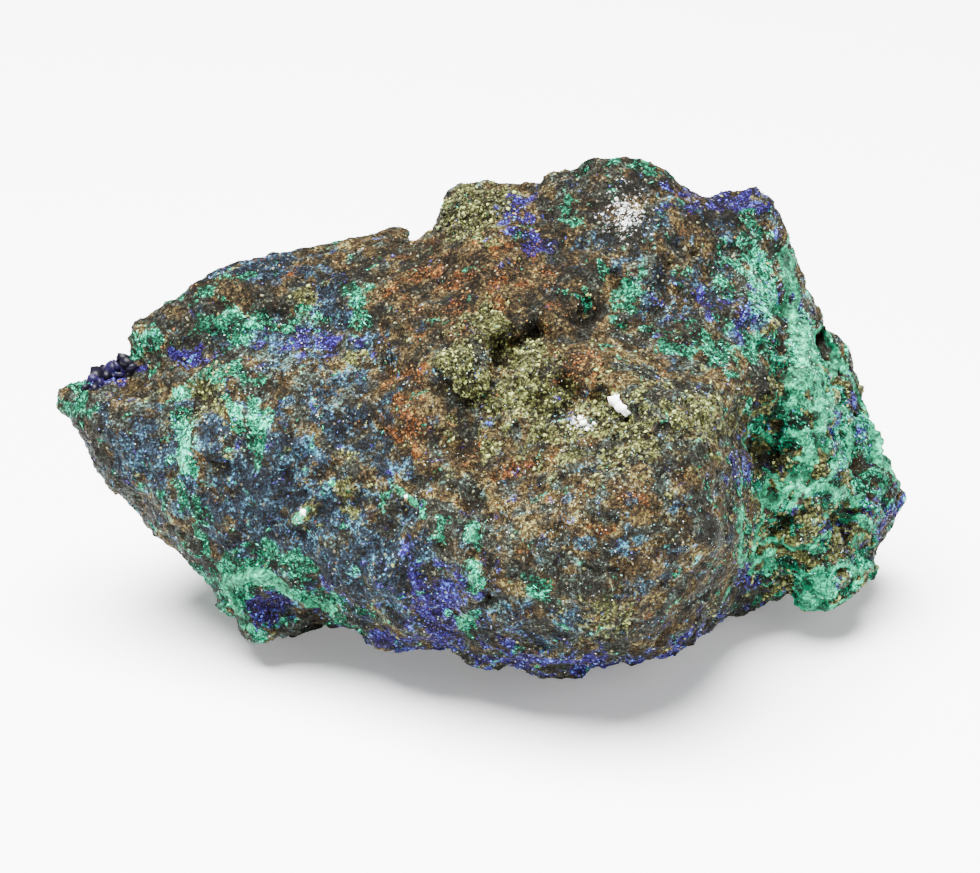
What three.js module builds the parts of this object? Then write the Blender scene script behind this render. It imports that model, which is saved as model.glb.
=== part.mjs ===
// Azurite and malachite specimen: one rugged lump of ore, 83 mm long, lying on its flattened underside.
//
// The lump is a single solid. Its form is a field that is negative inside the stone. The field joins four
// things: the outline that the stone shows from its display side, the relief of that side, the fracture
// planes that bound its back and underside, and the lumps, pits and grain that break up all of them.
// The solid's surface is drawn through the field's zero level on a regular grid.
//
// Units are millimetres. X runs along the stone, +Y goes away from the display side and +Z is up. The origin
// lies on the resting plane, under the middle of the stone's box.

import * as THREE from "three";
import { ImprovedNoise } from "three/addons/math/ImprovedNoise.js";

// ---------------------------------------------------------------- driving dimensions

const gridStep = 1.9; // size of the surface's facets
const displayTilt = THREE.MathUtils.degToRad(25); // the display side is looked at from this far above level
const eyeDistance = 500; // and from this far away
const sheetHeight = 24; // height of the display sheet's middle over the resting plane
const sheetBack = 7.2; // and how far back it lies

const rimRound = 5.5; // how far in from the outline the display side rounds over
const rimEdge = 0.8; // rounding of the rim itself
const backTaper = 0.3; // how fast the outline shrinks behind the rim, in mm per mm
const taperSoftness = 5; // the depth over which that shrinking sets in
const fractureSoftness = 2.2; // rounding where two fracture planes meet
const footPress = 0.55; // how near the resting plane the stone is worn flat
const footReach = [1, 9]; // heights between which a foot's swelling dies away

const displayDepthRange = [-16, -9]; // depths over which the back's roughness gives way to the display side's
const rimCalm = [1, 4]; // distances from the outline over which the grain grows to its full height
const calmShare = 0.7; // share of the grain's height that is missing at the outline
const broadGrain = 10; // grain of a longer wavelength than this is left off the display side
const grainOrigin = [7.3, 2.9, 5.1]; // where in the noise the stone lies

const stoneBox = { low: [-45, -26, -3], high: [44, 38, 56] }; // the space that the surface is looked for in
const evenings = 3; // how many times the facets are evened out
const fillDepth = 0.1; // how deep a filled-in gap between two sheets of the surface lies inside the stone

// Outline of the stone on the display sheet, clockwise from the tip of the nose: [across, up].
const outline = [
  // the nose and the crystal knob behind it
  [-42.8, 3.2], [-42.7, 5.2], [-41.8, 6.5], [-40.4, 6.9], [-39.4, 7.6], [-37.8, 7.2], [-36.8, 8.1], [-35.3, 7.8],
  // the upper left ledge
  [-36.3, 9.5], [-36.0, 11.6], [-35.0, 12.8], [-33.0, 13.3], [-31.4, 13.7], [-31.0, 15.3], [-30.2, 16.2],
  [-28.0, 17.2], [-25.6, 18.2], [-22.5, 18.4], [-21.0, 18.1], [-18.5, 19.0], [-16.0, 19.2], [-14.6, 19.8],
  [-9.5, 20.2], [-7.5, 20.1], [-6.0, 20.7], [-5.2, 21.4],
  // the knob in the middle of the skyline, and the saddle after it
  [-4.7, 23.7], [-4.0, 25.0], [-3.0, 25.5], [-0.8, 25.8], [1.0, 25.4], [4.6, 25.2],
  // the crest
  [5.8, 26.2], [7.0, 27.3], [8.5, 27.5], [10.2, 28.4], [12.0, 28.8], [14.2, 28.4], [16.0, 28.5], [18.2, 27.5],
  [19.4, 26.8], [19.8, 25.6], [22.0, 25.0],
  // the horn at the upper right corner
  [24.2, 25.3], [25.0, 25.9], [26.2, 25.5], [27.4, 25.9], [28.8, 25.2], [29.7, 24.1],
  // down the right flank to its foot
  [30.5, 21.2], [30.9, 17.2], [31.6, 15.5], [33.9, 11.0], [35.8, 9.6], [36.2, 8.4], [35.5, 7.0], [36.7, 5.4],
  [37.8, 1.2], [38.7, -2.0], [40.3, -4.0], [40.7, -5.6], [40.0, -8.4], [38.4, -10.2], [38.5, -12.5],
  [37.6, -14.6], [34.8, -16.2], [33.0, -16.8], [31.6, -16.3], [30.6, -14.7], [29.0, -15.1], [27.0, -15.4],
  [25.8, -16.4], [23.8, -17.6],
  // under the belly
  [21.0, -19.5], [19.0, -21.1], [14.0, -22.0], [10.0, -22.5], [8.0, -23.1], [6.2, -23.8], [5.0, -23.7],
  [2.5, -22.4], [1.0, -22.3], [-0.5, -22.9], [-1.8, -22.4], [-3.5, -20.9], [-5.0, -20.5], [-8.0, -20.8],
  [-11.2, -20.9], [-12.5, -19.6], [-14.5, -18.1], [-16.0, -19.4], [-18.0, -18.8],
  // the lower left foot, and back up to the nose
  [-20.0, -19.3], [-21.8, -20.7], [-24.0, -20.1], [-25.6, -18.8], [-27.2, -15.2], [-28.6, -13.4],
  [-31.0, -11.5], [-33.5, -9.1], [-34.6, -7.4], [-36.4, -5.4], [-38.2, -4.6], [-38.7, -3.2], [-40.8, 0.0],
];

// Depth of that outline, towards the eye from the display sheet: [across, up, depth].
const rimDepths = [
  [-42.8, 4.0, -6.6], [-36.0, 9.5, -6.6], [-29.0, 17.0, -9.6], [-19.0, 19.0, -11.6], [-6.0, 20.5, -10.6],
  [-1.0, 25.5, -8.6], [13.0, 28.7, -6.1], [20.0, 25.3, -8.6], [28.0, 25.5, -10.6], [31.0, 16.0, -13.6],
  [36.0, 8.0, -15.0], [40.3, -5.5, -13.6], [37.5, -15.0, -12.6], [33.0, -16.5, -11.6], [28.5, -15.3, -11.6],
  [25.0, -16.8, -8.6], [21.0, -19.7, -2.6], [11.0, -22.4, 2.4], [5.5, -23.7, 3.4], [-1.0, -22.6, 2.4],
  [-9.0, -20.8, -0.6], [-14.5, -18.0, -4.6], [-21.8, -20.6, -5.6], [-26.5, -16.5, -5.6], [-32.5, -10.2, -6.6],
  [-38.5, -3.5, -8.6],
];

// Depth of the display side itself, from the outline inwards: [across, up, depth].
const displayDepths = [
  // the belly: the great bulge low in front, highest along its middle
  [11.0, -8.0, 20.4], [11.0, -16.0, 18.4], [19.0, -12.0, 16.4], [3.0, -12.0, 17.6], [-4.0, -8.0, 13.9],
  [7.0, -20.5, 11.5], [16.0, -0.5, 19.0], [23.0, -3.0, 15.0], [24.0, -10.0, 12.9], [23.0, -15.5, 7.5],
  [0.5, -19.0, 12.5], [18.0, -18.5, 10.5],
  // the belly's upper lip, which stands proud of the face above it
  [7.5, 7.4, 13.0], [13.0, 5.8, 16.2], [17.5, 5.0, 15.6], [21.5, 4.0, 13.6],
  // the foot of the upper face, just behind that lip
  [9.0, 10.2, 7.6], [14.0, 8.8, 7.4], [18.0, 8.2, 6.4], [22.0, 8.0, 4.8], [26.0, 6.4, 3.2],
  // the right flank, set back behind the belly's edge
  [26.0, 1.0, -0.6], [26.4, -4.0, -2.0], [26.4, -10.0, -3.4], [26.0, -14.4, -6.6], [31.0, 0.5, -1.2],
  [33.0, -6.0, -2.4], [31.0, -10.0, -3.2], [37.0, -3.0, -7.6], [38.0, -7.0, -8.6], [30.0, -13.0, -7.2],
  [34.5, -13.0, -7.0], [33.0, 6.0, -5.2], [30.0, 11.0, -4.4],
  // the upper face: a wide shallow dish from the crest down to the lip
  [29.0, 18.0, -6.0], [25.0, 11.5, 0.6], [27.0, 21.0, -4.6], [21.0, 14.0, 0.8], [21.0, 21.0, -2.6],
  [14.0, 24.0, -1.6], [15.0, 16.0, 3.4], [7.0, 20.0, 0.2], [3.0, 23.0, -2.6],
  // the knob, the rusty saddle under it, and the crumbly hollow in the middle
  [-2.0, 22.5, -1.0], [-2.0, 17.0, 3.0], [1.0, 12.0, 6.8], [6.0, 11.5, 7.4], [3.0, 9.2, 5.6], [-2.5, 8.6, 9.8],
  [4.0, 5.5, 11.4], [9.0, 4.0, 9.0], [1.0, 1.0, 11.6], [-4.0, -3.0, 12.2],
  // the left half, which falls away to the nose
  [-9.0, 14.0, 1.6], [-9.0, 6.0, 7.4], [-9.0, -1.0, 10.4], [-11.0, -8.0, 10.2], [-7.0, -16.0, 11.0],
  [-11.0, -18.5, 5.8], [-16.0, -12.0, 6.6], [-15.0, -4.0, 8.2], [-19.0, 2.0, 5.6], [-16.0, 17.0, -4.0],
  [-7.0, 18.0, -2.0], [-24.0, -6.0, 3.6], [-25.0, 0.0, 4.2], [-21.0, -11.0, 2.8], [-24.0, -15.0, -1.0],
  [-29.0, -6.0, 1.0], [-33.0, 0.0, -0.4], [-33.0, 5.0, -1.4], [-38.0, 2.0, -2.4], [-40.5, 4.5, -3.6],
  // the groove that runs back from the notch, between the upper left ledge and the rib below it
  [-37.5, 6.4, -7.2], [-30.0, 8.6, -3.8], [-22.0, 9.4, -1.8], [-15.0, 10.6, 0.2],
  [-34.0, 11.0, -3.8], [-28.0, 13.6, -4.4], [-21.0, 14.0, -2.8], [-26.0, 6.4, 1.6], [-20.0, 6.6, 3.2],
];

// Round swellings (positive) and hollows (negative) of the display side: [across, up, radius, height].
const displayLumps = [
  // the crumbly heap round the middle hollow
  [-2.8, 7.6, 2.6, 1.6], [-0.4, 11.0, 2.2, 1.5], [3.6, 6.6, 2.4, 1.4], [6.4, 12.4, 2.0, 1.2],
  [2.4, 9.8, 2.7, -1.9], [-1.6, 4.2, 2.2, -1.6], [9.4, 4.0, 2.5, -2.0], [6.4, 9.0, 2.0, -1.4],
  [14.8, -1.5, 2.0, 1.1], [19.6, 3.0, 2.2, 1.3], [12.0, -1.0, 1.6, -1.4],
  // swellings on the belly
  [11.0, -17.0, 2.6, 1.0], [14.2, -19.2, 2.4, 1.0], [3.0, -18.6, 2.4, 0.9], [-1.6, -6.2, 2.0, -1.8],
  [0.5, -15.5, 1.4, -1.3], [-1.4, -13.6, 1.7, 1.0], [-9.0, -13.0, 4.2, 0.9], [-17.5, -7.0, 2.2, 0.9],
  // the lower left foot: rolled folds with a pocket between them
  [-24.0, -13.4, 2.4, 1.4], [-20.2, -12.8, 2.0, 1.0], [-21.6, -17.0, 1.9, -2.6], [-24.6, -17.4, 2.0, 1.0],
  [-17.0, -17.0, 1.8, -1.4], [-14.6, -15.6, 1.8, 0.8],
  // pockets and ribs of the left half
  [-28.6, 3.6, 1.9, -2.6], [-26.6, 5.6, 1.8, 0.9], [-24.4, 2.2, 1.6, 0.8], [-28.4, 15.0, 2.6, 0.8],
  [-38.6, 6.6, 1.7, -1.6], [-14.4, 12.0, 2.0, -0.9], [-11.0, 13.2, 1.7, -1.1], [-31.0, -4.6, 2.2, 0.7],
  // bosses and pits of the upper face
  [14.0, 22.5, 2.6, 0.8], [21.0, 16.5, 3.0, -1.2], [24.4, 7.6, 2.2, 1.0], [8.6, 14.6, 2.4, 0.8],
  [12.6, 12.0, 2.0, 0.7], [26.4, 12.4, 2.2, 0.9],
  // the cavernous right flank: ribs with deep pits between them
  [33.0, 9.6, 1.7, -3.4], [35.0, 6.8, 1.3, -2.6], [31.4, 5.6, 1.6, 1.6], [36.2, 2.2, 1.4, -2.6],
  [28.2, -0.4, 2.4, -3.2], [32.6, 1.6, 1.6, 1.3], [31.4, -4.4, 1.7, -2.8], [29.8, -2.6, 1.7, 1.4],
  [35.4, -7.0, 1.8, -3.4], [29.2, -7.6, 1.7, -2.8], [33.0, -3.4, 1.6, 1.2], [28.0, -5.4, 1.5, 1.0],
  [38.6, -4.2, 1.6, 1.0], [32.2, -10.6, 1.6, -1.8], [29.0, -11.0, 1.7, 1.0], [33.0, -15.0, 2.0, 1.4],
  [36.6, -11.6, 1.5, -1.8], [36.8, -8.6, 1.6, 1.0],
];

// Fracture planes of the back and the underside: [normal across, back, up, distance from the origin].
const fractures = [
  [0.05, 0.99, 0.13, 33.0], // the broad back
  [-0.5, 0.82, 0.25, 42.5], // back left
  [0.6, 0.75, 0.25, 47.5], // back right
  [0.1, 0.75, -0.65, 19.0], // under the back
  [-0.66, 0.1, -0.74, 17.0], // under the nose
  [0.7, -0.1, -0.7, 22.5], // under the right flank
  [0.25, 0.6, 0.76, 58.0], // behind the crest
  [-0.35, 0.62, 0.7, 50.5], // behind the upper left ledge
  [0, 0, -1, -2.2], // the underside, clear of the resting plane
];

// Lumps and hollows of the back and the underside: [across, back, up, radius, height].
const backLumps = [
  [-18, 30, 20, 7.0, 2.4], [-4, 31, 12, 5.0, -2.6], [9, 32, 24, 7.5, 2.2], [24, 26, 16, 6.0, 2.0],
  [16, 30, 10, 4.0, -2.2], [-28, 24, 26, 5.0, -2.0], [-10, 29, 32, 5.0, 1.8], [2, 30, 38, 4.5, -2.0],
  [22, 27, 34, 5.0, 1.8], [33, 20, 22, 4.0, -1.8], [-36, 17, 20, 4.0, 1.6], [-22, 22, 8, 5.0, 1.6],
];

// Places where the underside bears on whatever it lies on: [across, back, radius, how far it stands down].
const feet = [
  [7, 5, 4.5, 3.2], [-19, 14, 4.5, 3.6], [25, 20.5, 5.0, 3.8], [4, 20, 4.0, 2.8],
];

// Grain of the broken surface, coarse to fine: [wavelength, height].
const grain = [
  [17, 1.5], [8.6, 1.7], [4.9, 1.35],
];

// ---------------------------------------------------------------- small mathematics

const { smoothstep } = THREE.MathUtils;
const noise = new ImprovedNoise();

// The larger of a and b, with the edge between them rounded over the given width.
function softMax(a, b, width) {
  const near = Math.max(width - Math.abs(a - b), 0) / width;
  return Math.max(a, b) + near * near * width * 0.25;
}

// Distance from a point to an outline: positive inside it.
function distanceInside(loop, x, y) {
  let nearest = Infinity;
  let inside = false;
  for (let i = 0, j = loop.length - 1; i < loop.length; j = i++) {
    const [ax, ay] = loop[j];
    const [bx, by] = loop[i];
    const along = ((x - ax) * (bx - ax) + (y - ay) * (by - ay)) / ((bx - ax) ** 2 + (by - ay) ** 2);
    const t = THREE.MathUtils.clamp(along, 0, 1);
    nearest = Math.min(nearest, Math.hypot(x - ax - t * (bx - ax), y - ay - t * (by - ay)));
    if (ay > y !== by > y && x < ax + ((y - ay) / (by - ay)) * (bx - ax)) inside = !inside;
  }
  return inside ? nearest : -nearest;
}

// A smooth sheet through scattered [x, y, height] points: a sum of cones whose tips are rounded.
function sheetThrough(points, tip) {
  const cone = (dx, dy) => Math.sqrt(dx * dx + dy * dy + tip * tip);
  const mean = points.reduce((sum, p) => sum + p[2], 0) / points.length;
  const rows = points.map((p) => [...points.map((q) => cone(p[0] - q[0], p[1] - q[1])), p[2] - mean]);
  const weights = solve(rows);
  return (x, y) => points.reduce((sum, p, i) => sum + weights[i] * cone(x - p[0], y - p[1]), mean);
}

// Solves a square set of linear equations, each row ending in its right-hand side.
function solve(rows) {
  const count = rows.length;
  for (let column = 0; column < count; column++) {
    let pivot = column;
    for (let row = column + 1; row < count; row++) {
      if (Math.abs(rows[row][column]) > Math.abs(rows[pivot][column])) pivot = row;
    }
    [rows[column], rows[pivot]] = [rows[pivot], rows[column]];
    for (let row = 0; row < count; row++) {
      if (row === column) continue;
      const share = rows[row][column] / rows[column][column];
      for (let k = column; k <= count; k++) rows[row][k] -= share * rows[column][k];
    }
  }
  return rows.map((row, i) => row[count] / row[i]);
}

// ---------------------------------------------------------------- the stone's field

const rimDepthAt = sheetThrough(rimDepths, 3);
const displayDepthAt = sheetThrough(displayDepths, 0.8);

// A step from 0 to 1 between two values, eased at both ends.
const ramp = (value, [from, to]) => smoothstep(value, from, to);

// A round lump's height at a distance from its middle.
const swelling = (distance, radius, height) => height * Math.exp(-((distance / radius) ** 2));

// A point of the stone as the eye in front of the display side sees it: across, up, and depth towards the eye.
function faceOn(x, y, z) {
  const back = y - sheetBack;
  const up = z - sheetHeight;
  const depth = up * Math.sin(displayTilt) - back * Math.cos(displayTilt);
  const spread = eyeDistance / (eyeDistance - depth);
  return [x * spread, (up * Math.cos(displayTilt) + back * Math.sin(displayTilt)) * spread, depth];
}

// How far a point stands out in front of the display side.
function beyondDisplaySide(across, up, depth, inside) {
  const rim = rimDepthAt(across, up);
  const rounding = 1 - Math.min(Math.max(inside, 0) / rimRound, 1);
  let face = displayDepthAt(across, up);
  for (const [x, y, radius, height] of displayLumps) {
    face += swelling(Math.hypot(across - x, up - y), radius, height);
  }
  return depth - (rim + (face - rim) * Math.sqrt(1 - rounding * rounding));
}

// How far a point stands outside the outline, which shrinks behind the rim.
function beyondOutline(across, up, depth, inside) {
  const behind = rimDepthAt(across, up) - depth;
  const setIn = Math.sqrt(Math.max(behind, 0) ** 2 + taperSoftness ** 2) - taperSoftness;
  return backTaper * setIn - inside;
}

// How far a point stands outside the fracture planes.
function beyondFractures(x, y, z) {
  let out = -Infinity;
  for (const [nx, ny, nz, distance] of fractures) {
    const length = Math.hypot(nx, ny, nz);
    out = softMax(out, (nx * x + ny * y + nz * z) / length - distance, fractureSoftness);
  }
  for (const [cx, cy, cz, radius, height] of backLumps) {
    out -= swelling(Math.hypot(x - cx, y - cy, z - cz), radius, height);
  }
  return out;
}

// The stone's field: negative inside the stone, and near a distance in millimetres close to its surface.
function field(x, y, z) {
  const [across, up, depth] = faceOn(x, y, z);
  const inside = distanceInside(outline, across, up);
  const behindRim = beyondOutline(across, up, depth, inside);
  let out = softMax(behindRim, beyondDisplaySide(across, up, depth, inside), rimEdge);
  out = softMax(out, beyondFractures(x, y, z), fractureSoftness);
  const shown = ramp(depth, displayDepthRange);
  const calm = shown * (1 - ramp(inside, rimCalm));
  for (const [wavelength, height] of grain) {
    const rough = noise.noise(...[x, y, z].map((c, k) => c / wavelength + grainOrigin[k]));
    out += height * rough * (wavelength > broadGrain ? 1 - shown : 1 - calmShare * calm);
  }
  for (const [cx, cy, radius, drop] of feet) {
    out -= swelling(Math.hypot(x - cx, y - cy), radius, drop) * (1 - ramp(z, footReach));
  }
  return Math.max(out, -z);
}

// ---------------------------------------------------------------- the surface

// Corners of a grid cell, and its twelve edges as pairs of those corners.
const cellCorners = [0, 1, 2, 3, 4, 5, 6, 7].map((k) => [k & 1, (k >> 1) & 1, k >> 2]);
const cellEdges = [];
for (let a = 0; a < 8; a++) {
  for (const bit of [1, 2, 4]) if (!(a & bit)) cellEdges.push([a, a | bit]);
}

// True if the corners on each side of the surface hang together, so that one sheet passes through the cell.
function holdsOneSheet(inside) {
  return [true, false].every((side) => {
    const members = cellCorners.map((_, k) => k).filter((k) => inside[k] === side);
    const reached = new Set(members.slice(0, 1));
    for (const k of reached) {
      for (const bit of [1, 2, 4]) if (inside[k ^ bit] === side) reached.add(k ^ bit);
    }
    return reached.size === members.length;
  });
}

// The surface of value < 0 inside a box, as one closed mesh with a vertex in each cell that it crosses.
function surfaceOf(value, low, high, step) {
  const count = low.map((l, k) => Math.ceil((high[k] - l) / step) + 1);
  const stride = [1, count[0], count[0] * count[1]];
  const at = (i, j, k) => low.map((l, n) => l + step * [i, j, k][n]);
  const samples = new Float64Array(count[0] * count[1] * count[2]);
  const eachPoint = (most, visit) => {
    for (let k = 0; k < count[2] - most; k++) {
      for (let j = 0; j < count[1] - most; j++) {
        for (let i = 0; i < count[0] - most; i++) visit(i, j, k, i + j * stride[1] + k * stride[2]);
      }
    }
  };
  eachPoint(0, (i, j, k, n) => (samples[n] = value(...at(i, j, k))));

  // A cell that two sheets pass through would pinch the mesh: its shallowest outside corner is filled in.
  const cornerOf = (n, c) => n + cellCorners[c].reduce((sum, on, axis) => sum + on * stride[axis], 0);
  for (let changed = true; changed; ) {
    changed = false;
    eachPoint(1, (i, j, k, n) => {
      const corners = cellCorners.map((_, c) => cornerOf(n, c));
      if (holdsOneSheet(corners.map((m) => samples[m] < 0))) return;
      const outside = corners.filter((m) => samples[m] >= 0);
      const shallowest = outside.reduce((a, b) => (samples[b] < samples[a] ? b : a));
      samples[shallowest] = -fillDepth;
      changed = true;
    });
  }

  const vertexOf = new Map();
  const positions = [];
  eachPoint(1, (i, j, k, n) => {
    const sum = [0, 0, 0];
    let crossings = 0;
    for (const [a, b] of cellEdges) {
      const [fa, fb] = [samples[cornerOf(n, a)], samples[cornerOf(n, b)]];
      if (fa < 0 === fb < 0) continue;
      const t = fa / (fa - fb);
      cellCorners[a].forEach((on, axis) => (sum[axis] += on + t * (cellCorners[b][axis] - on)));
      crossings++;
    }
    if (!crossings) return;
    vertexOf.set(n, positions.length);
    positions.push(at(i, j, k).map((p, axis) => p + (step * sum[axis]) / crossings));
  });

  const faces = [];
  eachPoint(1, (i, j, k, n) => {
    [0, 1, 2].forEach((axis) => {
      const [u, v] = [(axis + 1) % 3, (axis + 2) % 3];
      if ([i, j, k][u] === 0 || [i, j, k][v] === 0) return;
      const [here, next] = [samples[n] < 0, samples[n + stride[axis]] < 0];
      if (here === next) return;
      const ring = [n, n - stride[u], n - stride[u] - stride[v], n - stride[v]].map((m) => vertexOf.get(m));
      faces.push(here ? ring : ring.reverse());
    });
  });
  return { positions, faces };
}

// Draws each vertex a little towards its neighbours and then back onto the surface, which evens out the facets.
const drawShare = 0.5; // how far towards its neighbours' middle a vertex is drawn
const probe = 0.15; // the distance over which the field's slope is measured
const mildSlope = 0.25; // the least slope squared that a way back is worked out from
const farthestReturn = 0.7; // and the longest such way

function relax(mesh, value, rounds) {
  const { positions, faces } = mesh;
  const neighbours = positions.map(() => new Set());
  for (const ring of faces) {
    ring.forEach((a, i) => neighbours[a].add(ring[(i + 1) % 4]).add(ring[(i + 3) % 4]));
  }
  for (let round = 0; round < rounds; round++) {
    const drawn = positions.map((p, i) => {
      const mean = [0, 1, 2].map((k) => {
        let sum = 0;
        for (const j of neighbours[i]) sum += positions[j][k];
        return sum / neighbours[i].size;
      });
      return p.map((c, k) => c + drawShare * (mean[k] - c));
    });
    drawn.forEach((p, i) => {
      const here = value(...p);
      const slope = [0, 1, 2].map((k) => {
        const beside = [...p];
        beside[k] += probe;
        return (value(...beside) - here) / probe;
      });
      const steepness = slope.reduce((sum, s) => sum + s * s, 0);
      const way = here / Math.max(steepness, mildSlope);
      const reach = THREE.MathUtils.clamp(way, -farthestReturn, farthestReturn);
      positions[i] = p.map((c, k) => c - reach * slope[k]);
    });
  }
}

// ---------------------------------------------------------------- the specimen

function stoneGeometry() {
  const mesh = surfaceOf(field, stoneBox.low, stoneBox.high, gridStep);
  relax(mesh, field, evenings);

  // The underside is worn flat where it comes down to the resting plane.
  for (const p of mesh.positions) if (p[2] < footPress) p[2] = 0;

  const box = new THREE.Box3().setFromPoints(mesh.positions.map((p) => new THREE.Vector3(...p)));
  const middle = box.getCenter(new THREE.Vector3());
  const apart = (a, b) => Math.hypot(...mesh.positions[a].map((c, k) => c - mesh.positions[b][k]));
  const triangles = mesh.faces.flatMap(([a, b, c, d]) =>
    apart(a, c) < apart(b, d) ? [a, b, c, a, c, d] : [a, b, d, b, c, d],
  );
  const geometry = new THREE.BufferGeometry();
  const coordinates = mesh.positions.flatMap(([x, y, z]) => [x - middle.x, y - middle.y, z]);
  geometry.setAttribute("position", new THREE.Float32BufferAttribute(coordinates, 3));
  geometry.setIndex(triangles);
  geometry.computeVertexNormals();
  return geometry;
}

const oreMaterial = new THREE.MeshStandardMaterial({ color: 0x4a4f48, roughness: 0.75, metalness: 0 });

const specimen = new THREE.Group();
const stone = new THREE.Mesh(stoneGeometry(), oreMaterial);
stone.name = "stone";
specimen.add(stone);

export default specimen;
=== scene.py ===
import math

import bpy
import numpy as np
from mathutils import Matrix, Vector
from mathutils.kdtree import KDTree


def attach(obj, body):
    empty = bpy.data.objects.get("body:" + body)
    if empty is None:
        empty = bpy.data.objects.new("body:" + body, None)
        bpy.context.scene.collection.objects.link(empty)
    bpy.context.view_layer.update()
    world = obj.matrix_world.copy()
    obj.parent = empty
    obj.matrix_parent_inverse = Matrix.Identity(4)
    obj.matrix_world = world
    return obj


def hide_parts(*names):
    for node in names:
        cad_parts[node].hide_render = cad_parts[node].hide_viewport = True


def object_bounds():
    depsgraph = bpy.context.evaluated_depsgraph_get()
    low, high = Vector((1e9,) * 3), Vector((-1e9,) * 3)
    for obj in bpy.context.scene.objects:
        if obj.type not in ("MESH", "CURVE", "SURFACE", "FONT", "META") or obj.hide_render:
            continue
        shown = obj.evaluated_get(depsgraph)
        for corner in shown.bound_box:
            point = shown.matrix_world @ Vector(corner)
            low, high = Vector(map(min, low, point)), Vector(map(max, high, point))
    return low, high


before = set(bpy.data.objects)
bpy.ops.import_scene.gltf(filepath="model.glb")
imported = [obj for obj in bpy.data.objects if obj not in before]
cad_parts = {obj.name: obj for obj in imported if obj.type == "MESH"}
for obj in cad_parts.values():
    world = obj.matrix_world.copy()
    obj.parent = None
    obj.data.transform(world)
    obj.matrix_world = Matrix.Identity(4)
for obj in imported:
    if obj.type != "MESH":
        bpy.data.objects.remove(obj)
cad_low, cad_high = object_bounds()

# ---------------------------------------------------------------- the rock
# One lump of iron-stained rock in which copper ore grew. It broke out of the vein, so its faces are torn:
# cobbled, cracked and pitted. Its skin is a patchwork of minerals, which each grew where water had reached.
# It is made from the frame's solid: refined, pitted, heaped with nodules, then grained to half a millimetre.

MM = 0.001
skin_cell = 0.34  # mm, between neighbouring points of the skin before its flat parts are thinned out
most_triangles = 194000

dice = np.random.default_rng(11)

# The noise's lattice: the numbers from 0 to 255 in a shuffled row, and a random slope for each.
shuffle = np.tile(dice.permutation(256), 3)
slopes = dice.normal(size=(256, 3))
slopes /= np.linalg.norm(slopes, axis=1)[:, None]


def lattice(cell):
    """A number from 0 to 255 for each cell of space."""
    x, y, z = (cell & 255).T
    return shuffle[shuffle[shuffle[x] + y] + z]


def noise(places, size, seed=0):
    """Smooth noise from about -1 to 1, whose lumps measure about size."""
    q = places / size + seed * 13.7  # each seed reads another part of space
    cell = np.floor(q).astype(np.int64)
    part = q - cell
    blend = part * part * part * (part * (part * 6 - 15) + 10)
    total = np.zeros(len(q))
    for corner in np.ndindex(2, 2, 2):
        weight = np.prod(np.where(corner, blend, 1 - blend), axis=1)
        slope = slopes[lattice(cell + corner)]
        total += weight * np.einsum("ij,ij->i", slope, part - corner)
    return total * 1.6


def layered(places, size, seed=0, layers=3):
    """Noise with finer noise on it."""
    return sum(noise(places, size / 2**k, seed + k) / 2**k for k in range(layers)) / 1.5


def cobbles(places, size, seed=0):
    """Distance to the nearest of many scattered points, and how much farther the next one is, in sizes."""
    q = places / size + seed * 7.9
    home = np.floor(q).astype(np.int64)
    first = np.full(len(q), 9.0)
    second = np.full(len(q), 9.0)
    for step in np.ndindex(3, 3, 3):
        cell = home + step - 1
        key = lattice(cell + seed)
        point = cell + 0.5 + 0.45 * slopes[key]
        d = np.linalg.norm(q - point, axis=1)
        second = np.minimum(second, np.maximum(first, d))
        first = np.minimum(first, d)
    return first, second - first


def crumpled(places, size, seed=0, layers=3):
    """Sharp winding crests with rounded troughs between, and smaller ones on them, from about -1 to 1."""
    folds = np.zeros(len(places))
    for k in range(layers):
        from_crest = np.sqrt(noise(places, size / 2**k, seed + k) ** 2 + 0.002)
        folds += (1 - 2.6 * from_crest) / 1.8**k
    return folds / 1.8


def ease(value, low, high):
    """0 below low, 1 above high, and eased between."""
    t = np.clip((value - low) / (high - low), 0, 1)
    return t * t * (3 - 2 * t)


# The display side is mapped on a sheet that faces the eye: across and up in millimetres, from a middle
# that lies a fixed way from the nose's tip, the belly's front and the resting plane.
tilt = math.radians(25)  # of the eye's way, down from level
eye_distance = 500.0  # mm
sheet_middle = np.array([cad_low[0] / MM + 43.33, cad_low[1] / MM + 23.65, 24.0])
right_way = np.array([1, 0, 0])
up_way = np.array([0, math.sin(tilt), math.cos(tilt)])
eye_way = np.array([0, -math.cos(tilt), math.sin(tilt)])


def face_on(places):
    """Across, up and depth towards the eye, of places in millimetres."""
    q = places - sheet_middle
    depth = q @ eye_way
    spread = eye_distance / (eye_distance - depth)
    return q @ right_way * spread, q @ up_way * spread, depth


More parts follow.
